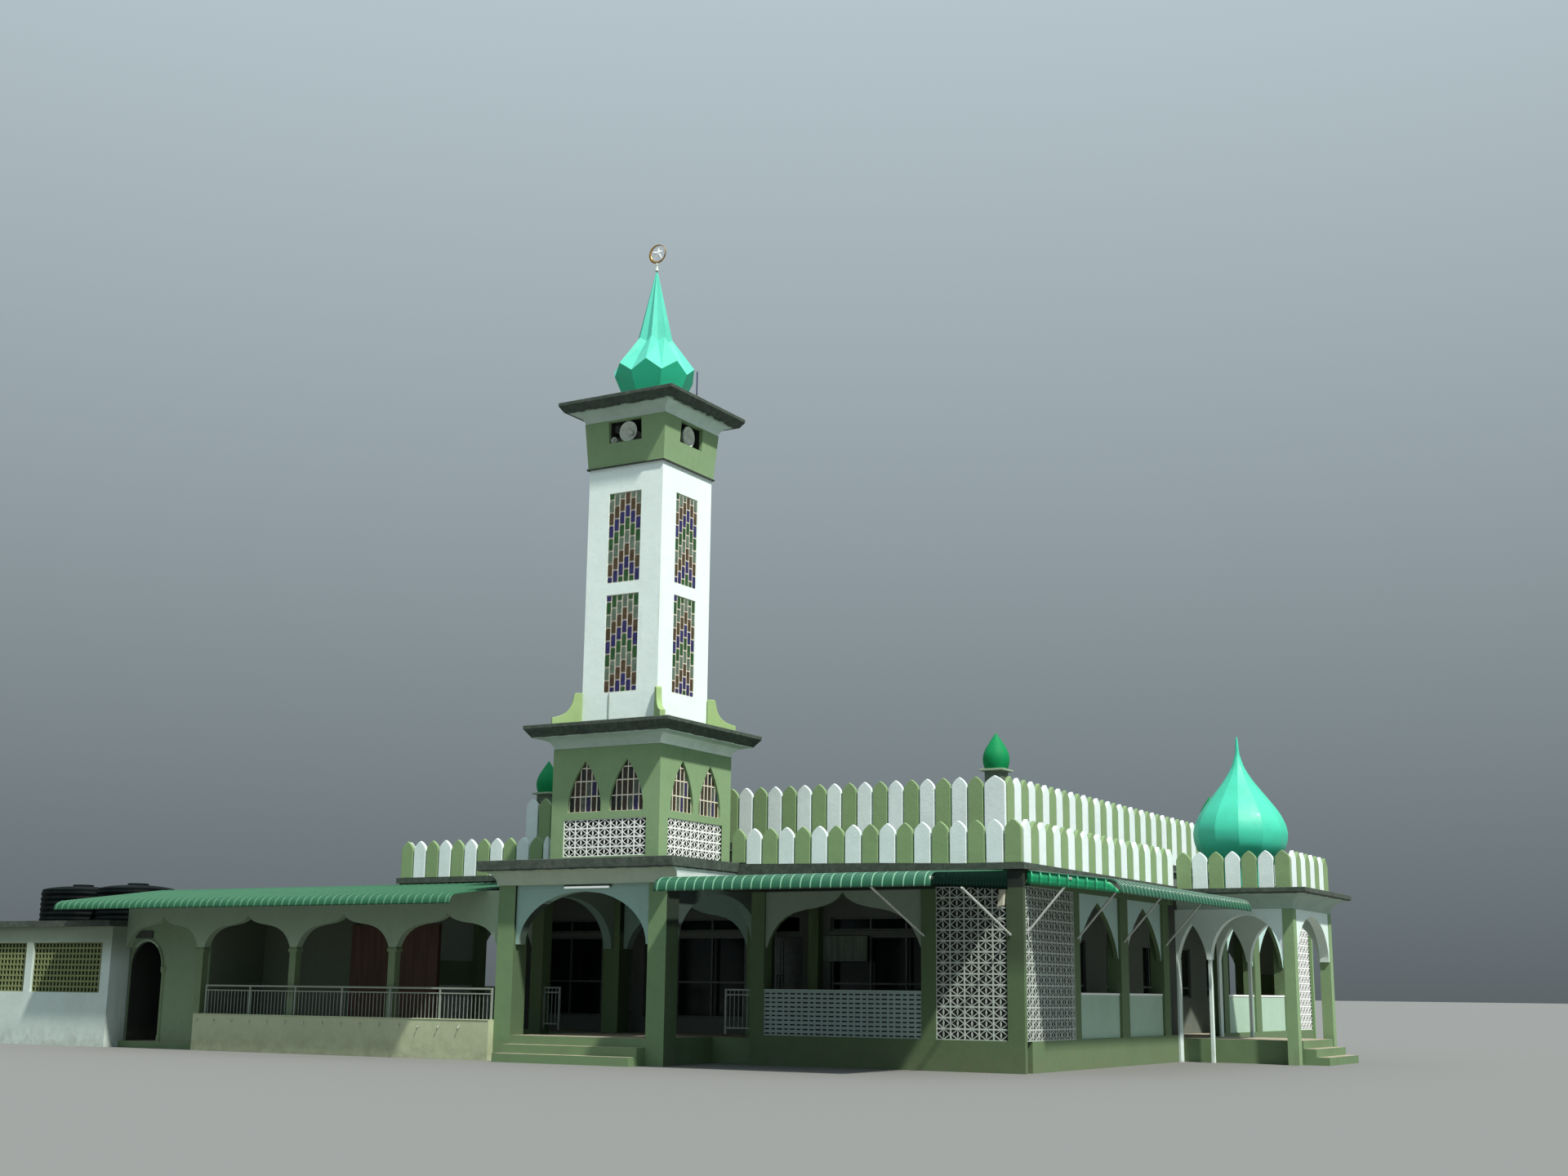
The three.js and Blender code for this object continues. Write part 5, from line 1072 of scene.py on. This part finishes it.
def onion(profile, x, y, sides, gores=0, flat=0.0, steps=60):
    """A smooth curve through points of (radius, z), turned. With gores, the radius falls between
    their seams towards the chord from seam to seam, by the share flat."""
    r, z = np.array(profile, float).T
    s = np.concatenate([[0], np.cumsum(np.hypot(np.diff(r), np.diff(z)))])
    t = np.linspace(0, s[-1], steps)
    fine_r, fine_z = np.interp(t, s, r), np.interp(t, s, z)
    kernel = np.array([1, 2, 3, 2, 1]) / 9
    for line in (fine_r, fine_z):
        line[2:-2] = np.convolve(line, kernel, "valid")
    swell = None
    if gores:
        half = np.pi / gores

        def swell(angle):
            off = np.abs((angle % (2 * half)) - half)
            return 1 - flat * (1 - np.cos(half) / np.cos(half - off))
    return turned(np.stack([fine_r, fine_z], 1), x, y, sides, swell)


BIG_DOME = [(0.72, 4.0603), (0.72, 4.5), (0.745, 4.64), (0.835, 4.83), (0.971, 4.983), (1.087, 5.154),
            (1.137, 5.324), (1.155, 5.529), (1.111, 5.733), (1.02, 5.938), (0.89, 6.142), (0.733, 6.347),
            (0.576, 6.551), (0.414, 6.756), (0.277, 6.96), (0.16, 7.165), (0.092, 7.37), (0.055, 7.506),
            (0.03, 7.846), (0.016, 7.94)]
SMALL_DOME = [(0.25, 6.446), (0.29, 6.56), (0.302, 6.68), (0.288, 6.79), (0.235, 6.92), (0.148, 7.06),
              (0.078, 7.165), (0.025, 7.24), (0.004, 7.271)]
piece("big_dome_shell", onion(BIG_DOME, 1.18, 11.0, 144, 12, 0.8, 90), dome_paint, smooth=0.25,
      replaces=["domed_porch_dome"])
for name, x, y in (("front_right", -1.969, 3.214), ("front_left", -14.491, 3.214),
                   ("rear_right", -1.969, 18.586), ("rear_left", -14.491, 18.586)):
    node = "small_dome_" + name
    dome = onion(SMALL_DOME, x, y, 40, steps=36)
    piece(node + "_shell", dome, emerald_paint, smooth=1.2, replaces=[node])
    post = gathered(blocks(x - 0.2, x + 0.2, y - 0.2, y + 0.2, 4.9803, 6.4),
                    blocks(x - 0.29, x + 0.29, y - 0.29, y + 0.29, 6.4, 6.446))
    piece(node + "_post", post, post_paint, bevel=0.01, replaces=[node])


# Canopies of ribbed sheet

def ribs(u0, u1, count):
    """Even ribs with a narrow crest each: the places of their folds, and how far up a rib each fold
    is."""
    place, lift = np.array([0.0, 0.41, 0.46, 0.54, 0.59]), (0.0, 0.12, 1.0, 1.0, 0.12)
    u = np.append((np.arange(count)[:, None] + place).ravel() * ((u1 - u0) / count) + u0, u1)
    return u, np.append(np.tile(lift, count), 0.0)


def mark_folds(thing, values):
    """Keeps each point's share of a rib in the mesh, for the sheet's paint."""
    fold = thing.data.attributes.new("fold", "FLOAT", "POINT")
    fold.data.foreach_set("value", values.astype(np.float32))


def ribbed(section, u0, u1, pitch, height, axis, sign):
    """A section of (out, z) carried along the wall, and pushed square to itself by the ribs: a
    narrow crest at every pitch. Returns the shape and how far each point is up a rib."""
    line = np.array(section, float)
    s = np.concatenate([[0], np.cumsum(np.hypot(*np.diff(line, axis=0).T))])
    direction = np.gradient(line, s, axis=0)
    direction /= np.linalg.norm(direction, axis=1)[:, None]
    square = np.stack([-direction[:, 1], direction[:, 0]], 1)
    u, fold = ribs(u0, u1, int(round((u1 - u0) / pitch)))
    out = line[:, 0][:, None] + height * np.outer(square[:, 0], fold)
    z = line[:, 1][:, None] + height * np.outer(square[:, 1], fold)
    along = np.broadcast_to(u, out.shape)
    return grid(laid(axis, along, sign * out, z)), np.broadcast_to(fold, out.shape).ravel()


def canopy_line(wall, reach, wall_z, shoulder_z, lip_z, radius, steps=12):
    """Side view of a canopy: straight down the slope, then a bend that turns down at the lip."""
    a = np.array([reach - radius, shoulder_z])
    b = np.array([reach, shoulder_z - 0.05 * radius])
    c = np.array([reach, lip_z])
    t = np.linspace(0, 1, steps + 1)[:, None]
    bend = (1 - t) ** 2 * a + 2 * (1 - t) * t * b + t * t * c
    straight = np.linspace((wall, wall_z), a, 5)[:-1]
    return np.concatenate([straight, bend])


def canopy(name, node, line, u0, u1, axis, sign, paint):
    """Hangs a ribbed sheet, its outer face up."""
    pitch, height = 0.22, 0.022
    shape, fold = ribbed(line, u0, u1, pitch, height, axis, sign)
    made = piece(name, shape, paint, thick=0.008, smooth=0.9, replaces=[node])
    mark_folds(made, fold)
    if (axis == "x") == (sign < 0):
        made.data.flip_normals()


canopy("front_canopy_sheet", "front_canopy", canopy_line(0.0605, 3.626, 3.966, 3.75, 3.48, 0.26),
       -6.5, -0.3, "x", -1, sheet_front)
canopy("right_canopy_sheet", "right_canopy", canopy_line(0.0605, 2.026, 3.966, 3.766, 3.5, 0.26),
       0.08, 8.83, "y", 1, sheet_green)
canopy("wing_roof_sheet", "wing_roof", canopy_line(0.0655, 3.456, 3.956, 3.536, 3.32, 0.25),
       -24.7, -11.915, "x", -1, sheet_wing)


def end_sheet(name, node, paint, axis, at, count, far, top, foot):
    """Ribbed sheet that hangs across a canopy's end in the plane at, from the wall out to far. Its top
    follows the slope, and its foot falls from the one height of foot to the other. The ribs show as pale
    strokes at the foot, painted highlights."""
    near = 0.055
    u, fold = ribs(near, far, count)
    high = np.interp(u, *top)
    low = np.interp(u, (near, far), foot)
    rows = [low, low + 0.3 * (high - low), low + 0.5 * (high - low), high]
    side = at - 0.018 * fold if axis == "y" else at + 0.018 * fold
    net = np.stack([np.stack([u, side, z] if axis == "y" else [side, -u, z], -1) for z in rows])
    hung = piece(name, grid(net), paint, thick=0.006, smooth=0.9, replaces=[node])
    mark_folds(hung, np.outer([1.0, 1.0, 0.3, 0.0], fold).ravel())


# Painted light: the bright end sheet of the right canopy.
end_sheet("right_canopy_end_sheet", "right_canopy", sheet_end, "y", 0.1, 10, 2.02,
          ([0.055, 1.76, 2.02], [3.975, 3.765, 3.52]), (3.72, 3.503))
# Painted shade: a near black sheet across the front canopy's end stands in for the shade there.
end_sheet("front_canopy_end_sheet", "front_canopy", sheet_dark, "x", -0.309, 24, 3.6,
          ([0.055, 3.37, 3.6], [3.96, 3.745, 3.56]), (3.6, 3.49))


front_steel = [blocks(-6.5, -0.32, -2.66, -2.6, 3.67, 3.72)]
for x, y, z in ((-0.283, -2.3, 3.52), (-2.218, -2.63, 3.67)):
    strut = [(x, -0.002, 2.7), (x, y / 2, (2.7 + z) / 2), (x, y, z)]
    front_steel.append(swept(strut, 0.024, (1, 0, 0), 10))
right_steel = [blocks(0.96, 1.02, 0.08, 8.83, 3.78, 3.83)]
for y in (0.12, 2.9, 5.72, 8.57):
    strut = [(0.002, y, 2.71), (0.5, y, 3.26), (0.99, y, 3.79)]
    right_steel.append(swept(strut, 0.022, (0, 1, 0), 10))
for node, steel in (("front_canopy", front_steel), ("right_canopy", right_steel)):
    piece(node + "_steelwork", gathered(*steel), steel_white, smooth=0.6, replaces=[node])


# Hall frames, entrance and fittings

def window_frame(u0, u1, z0, z1, across, axis, uprights=(), rails=()):
    """A frame round an opening, with uprights and rails across it."""
    rim, half_bar = 0.05, 0.022
    us = [(u0, u0 + rim), (u1 - rim, u1)] + [(u - half_bar, u + half_bar) for u in uprights]
    zs = [(z0, z0 + rim), (z1 - rim, z1)] + [(z - half_bar, z + half_bar) for z in rails]
    a, b = sorted(across)
    boxes = [(*u, a, b, z0, z1) for u in us] + [(u0, u1, a + 0.004, b - 0.004, *z) for z in zs]
    return walled(axis, *np.array(boxes).T)


frames = []
BAY, SIDE_BAY = 2.508, 2.5899
windows = [(-14.34, -11.476, 2.9), (-11.156, -8.292, 2.9)]
windows += [(-14.5 + i * BAY + 0.16, -14.5 + (i + 1) * BAY - 0.16, 18.67) for i in range(5)]
windows = [(a, b, y, [a + (b - a) * k / 3 for k in (1, 2)]) for a, b, y in windows]
for a, b, y, uprights in windows + [(-6.008, -2.12, 2.9, [-5.0, -4.1, -3.1])]:
    frames.append(window_frame(a, b, 0.9, 2.8, (y + 0.06, y + 0.13), "x", uprights, [1.73]))
    frames.append(window_frame(a, b, 2.9, 3.22, (y + 0.06, y + 0.13), "x", uprights))
for k in range(6):
    mid_y = 3.1303 + (k + 0.5) * SIDE_BAY
    for x in (-1.74, -14.72):
        frames.append(window_frame(mid_y - 0.6, mid_y + 0.6, 1.5, 2.8, (x - 0.035, x + 0.035), "y",
                                   [mid_y], [1.75]))
piece("hall_window_frames", gathered(*frames), aluminium)
column = gathered(blocks(-6.47, -6.2, 2.66, 2.8995, 0.5505, 4.0),
                  blocks(-6.5, -6.17, 2.63, 2.8995, 3.9, 3.99))
piece("hall_inner_column", column, column_green, bevel=0.01)
piece("hall_notice_board", blocks(-6.17, -5.03, 2.84, 2.8995, 2.22, 2.79), notice_pale, bevel=0.008)
doors = [blocks(-8.02, -6.74, 2.93, 2.985, 2.765, 2.772)]
for x in (-8.01, -6.75):
    doors.append(blocks(x - 0.009, x + 0.009, 2.94, 2.988, 0.56, 2.765))
piece("door_frame", gathered(*doors), aluminium)


def lever(x):
    """A pull handle: a bar that leaves the leaf, runs upright and comes back."""
    y = 2.99
    bends = ((0.0, 1.5), (0.045, 1.5), (0.055, 1.55), (0.055, 1.85), (0.045, 1.9), (0.0, 1.9))
    return swept([(x, y - out, z) for out, z in bends], 0.011, (1, 0, 0), 8)


for side, x in (("left", -7.43), ("right", -7.33)):
    piece(side + "_door_handle", lever(x), aluminium, smooth=0.6, body=side + "_leaf")


def railing(u0, u1, y, z0, z1, pitch):
    """Two rails, end posts and thin uprights at even steps along X."""
    n = max(2, int(round((u1 - u0) / pitch)))
    u = np.linspace(u0, u1, n + 1)
    bars = blocks(u - 0.007, u + 0.007, y - 0.007, y + 0.007, z0, z1)
    ends = u[[0, -1]]
    posts = blocks(ends - 0.02, ends + 0.02, y - 0.02, y + 0.02, z0 - 0.1, z1)
    feet, heads = [z0 + 0.02, z1 - 0.14, z1 - 0.035], [z0 + 0.05, z1 - 0.11, z1]
    return gathered(bars, posts, blocks(u0, u1, y - 0.018, y + 0.018, feet, heads))


rails = [railing(u0, u1, 0.11, 0.72, 1.58, 0.1) for u0, u1 in ((-7.05, -6.4), (-11.98, -11.55))]
piece("verandah_railing", gathered(*rails), steel_grey)
tube = [(x, -2.262, 3.68) for x in (-9.74, -9.2, -8.57)]
piece("porch_tube_lamp", swept(tube, 0.022), lamp_white, smooth=0.6)
piece("porch_lamp_holder", blocks(-9.78, -8.53, -2.238, -2.2, 3.69, 3.73), sign_dark)
corner = [(-0.53, 3.25), (-0.39, 3.28), (-0.36, 3.61), (-0.47, 3.6)]
piece("corner_lamp", plate(corner, (-0.11, -0.02)), lamp_box, bevel=0.01)


# Washing wing

def wing_trim():
    """Capitals on the wing's posts."""
    profile = ((0.102, 2.3), (0.14, 2.33), (0.14, 2.39), (0.125, 2.41), (0.102, 2.42))
    return gathered(*[stacked([(x - r, x + r, -2.08 - r, -2.14 + r, z) for r, z in profile])
                      for x in (-14.61, -17.69, -20.77)])


piece("wing_capitals", wing_trim(), wing_paint, bevel=0.006)


def doorway_trim():
    """A band round the arched doorway, and a shaft with a foot and a cap on its right."""
    t = np.linspace(0, np.pi, 33)
    middle, foot, rise = -22.835, 1.96, 0.62
    inner = np.stack([middle - 0.565 * np.cos(t), foot + rise * np.sin(t)], 1)[4:]
    outer = np.stack([middle - 0.62 * np.cos(t), foot + (rise + 0.055) * np.sin(t)], 1)[4:]
    shaft = [(0.075, 0.1503), (0.075, 0.28), (0.055, 0.32), (0.055, 1.78), (0.085, 1.84), (0.09, 1.93),
             (0.09, 1.96)]
    return gathered(banded(inner, outer, -2.05, -2.0205), turned(shaft, middle + 0.63, -2.0, 20))


piece("wing_doorway_trim", doorway_trim(), wing_paint, smooth=0.6)
piece("wing_signboard", blocks(-23.26, -22.66, -2.06, -2.0205, 2.66, 2.84), sign_dark, bevel=0.008)
bars = np.arange(-20.3, -11.6, 0.11)
piece("washing_rail_bars", blocks(bars - 0.007, bars + 0.007, -2.277, -2.263, 0.84, 1.41), steel_grey)


def taps():
    """A row of taps on the counter's face: a short stub, a bent spout and a cross handle each."""
    spout = ((-2.43, 0.7), (-2.455, 0.703), (-2.485, 0.698), (-2.495, 0.675), (-2.495, 0.66))
    handle = [(0.014, 0.71), (0.008, 0.718), (0.008, 0.733), (0.018, 0.737), (0.018, 0.744)]
    made = []
    for x in np.arange(-20.45, -11.9, 0.58):
        made += [swept([(x, y, z) for y, z in spout], 0.011, (1, 0, 0), 8), turned(handle, x, -2.46, 10)]
    return gathered(*made)


piece("washing_taps", taps(), brass_tap, smooth=0.6)
piece("counter_ledge", blocks(-20.6, -11.5303, -2.452, -2.2005, 0.8402, 0.862), counter_paint, bevel=0.006)
piece("wing_partition", blocks(-17.6, -14.85, -0.34, -0.2305, 0.1503, 3.02), door_brown, bevel=0.01)


def lattice(u0, u1, z0, z1, y):
    """Crossed bars at even steps, one layer behind the other."""
    pitch, bar = 0.132, 0.042
    n, m = int(round((u1 - u0) / pitch)), int(round((z1 - z0) / pitch))
    us, zs = [(np.maximum(at - bar / 2, at[0]), np.minimum(at + bar / 2, at[-1]))
              for at in (np.linspace(u0, u1, n + 1), np.linspace(z0, z1, m + 1))]
    return gathered(blocks(*us, y, y + 0.03, z0, z1), blocks(u0, u1, y + 0.002, y + 0.028, *zs))


openings = [(-26.35, -23.75), (-29.15, -26.6)]
# Painted shade: a near black block behind the lattice for the dark inside.
shape = gathered(*[lattice(a, b, 1.31, 2.54, -2.58) for a, b in openings],
                 blocks(-29.4497, -23.5703, -2.54, -2.44, 1.26, 2.6))
piece("toilet_lattice", shape, [lattice_paint, hollow_dark], [0] * (len(shape[1]) - 1) + [1],
      replaces=["toilet_block_grille"])


def tank(x, r):
    """A tank's profile turned: hooped sides whose radius ripples with height, a domed lid and a
    filler neck."""
    foot = [(r - 0.05, 3.0903), (r - 0.005, 3.12)]
    z = np.linspace(3.16, 4.0, 64)
    side = np.stack([r - 0.012 - 0.012 * np.cos((z - 3.16) * 2 * np.pi / 0.14), z], 1).tolist()
    top = cubic((r - 0.02, 4.03), (r - 0.05, 4.08), (r * 0.6, 4.14), (0.3, 4.15)).tolist()
    return turned(foot + side + top + [(0.28, 4.155), (0.27, 4.2), (0.0, 4.2)], x, 0.35, 64)


for side, x, r in (("left", -28.3, 1.08), ("right", -26.1, 1.05)):
    piece(side + "_tank_shell", tank(x, r), tank_black, smooth=0.6, replaces=["water_tank_" + side])


# Floor, light and camera

ground_mesh = bpy.data.meshes.new("ground")
reach = 900.0
corners = [(x * reach, y * reach, -0.001) for x, y in ((-1, -1), (1, -1), (1, 1), (-1, 1))]
ground_mesh.from_pydata(corners, [], [(0, 1, 2, 3)])
ground = bpy.data.objects.new("ground", ground_mesh)
bpy.context.scene.collection.objects.link(ground)
pale_floor = bpy.data.materials.new("pale_floor")
pale_floor.use_nodes = True
floor_shader = pale_floor.node_tree.nodes["Principled BSDF"]
floor_shader.inputs["Base Color"].default_value = (0.19, 0.19, 0.185, 1)
floor_shader.inputs["Roughness"].default_value = 0.9
ground_mesh.materials.append(pale_floor)

world = bpy.data.worlds.new("studio")
world.use_nodes = True
sky = world.node_tree
back = sky.nodes["Background"]
back.inputs["Color"].default_value = (0.74, 0.88, 0.95, 1)
spot = sky.nodes.new("ShaderNodeTexCoord")
height = sky.nodes.new("ShaderNodeSeparateXYZ")
climb = sky.nodes.new("ShaderNodeMapRange")
for socket, level in (("From Min", -0.05), ("From Max", 1.0), ("To Min", 0.1), ("To Max", 1.12)):
    climb.inputs[socket].default_value = level
sky.links.new(spot.outputs["Generated"], height.inputs[0])
sky.links.new(height.outputs["Z"], climb.inputs["Value"])
sky.links.new(climb.outputs[0], back.inputs["Strength"])
bpy.context.scene.world = world

key = bpy.data.lights.new("key", "SUN")
key.energy = 4.6
key.angle = math.radians(2.5)
key.color = (1.0, 0.97, 0.9)
key_light = bpy.data.objects.new("key", key)
toward = np.array([1.0, -0.445, 1.47])
toward /= np.linalg.norm(toward)
side_axis = np.cross([0, 0, 1.0], toward)
side_axis /= np.linalg.norm(side_axis)
sun_axes = np.column_stack([side_axis, np.cross(toward, side_axis), toward])
key_light.matrix_world = Matrix(sun_axes.tolist()).to_4x4()
bpy.context.scene.collection.objects.link(key_light)

YAW, PITCH, ROLL = 0.5304, 0.2120, 0.0118
ahead = np.array([-math.sin(YAW) * math.cos(PITCH), math.cos(YAW) * math.cos(PITCH), math.sin(PITCH)])
right = np.array([math.cos(YAW), math.sin(YAW), 0.0])
up = np.cross(right, ahead)
across = right * math.cos(ROLL) + up * math.sin(ROLL)
upright = -right * math.sin(ROLL) + up * math.cos(ROLL)
turn = Matrix(np.column_stack([across, upright, -ahead]).tolist()).to_4x4()
camera = bpy.data.objects.new("camera", bpy.data.cameras.new("camera"))
camera.data.sensor_width = 36.0
camera.data.lens = 42.99
camera.data.clip_end = 2000.0
camera.matrix_world = Matrix.Translation((28.1009, -44.3803, 1.5466)) @ turn
bpy.context.scene.collection.objects.link(camera)
bpy.context.scene.camera = camera
bpy.context.scene.view_settings.view_transform = "Standard"
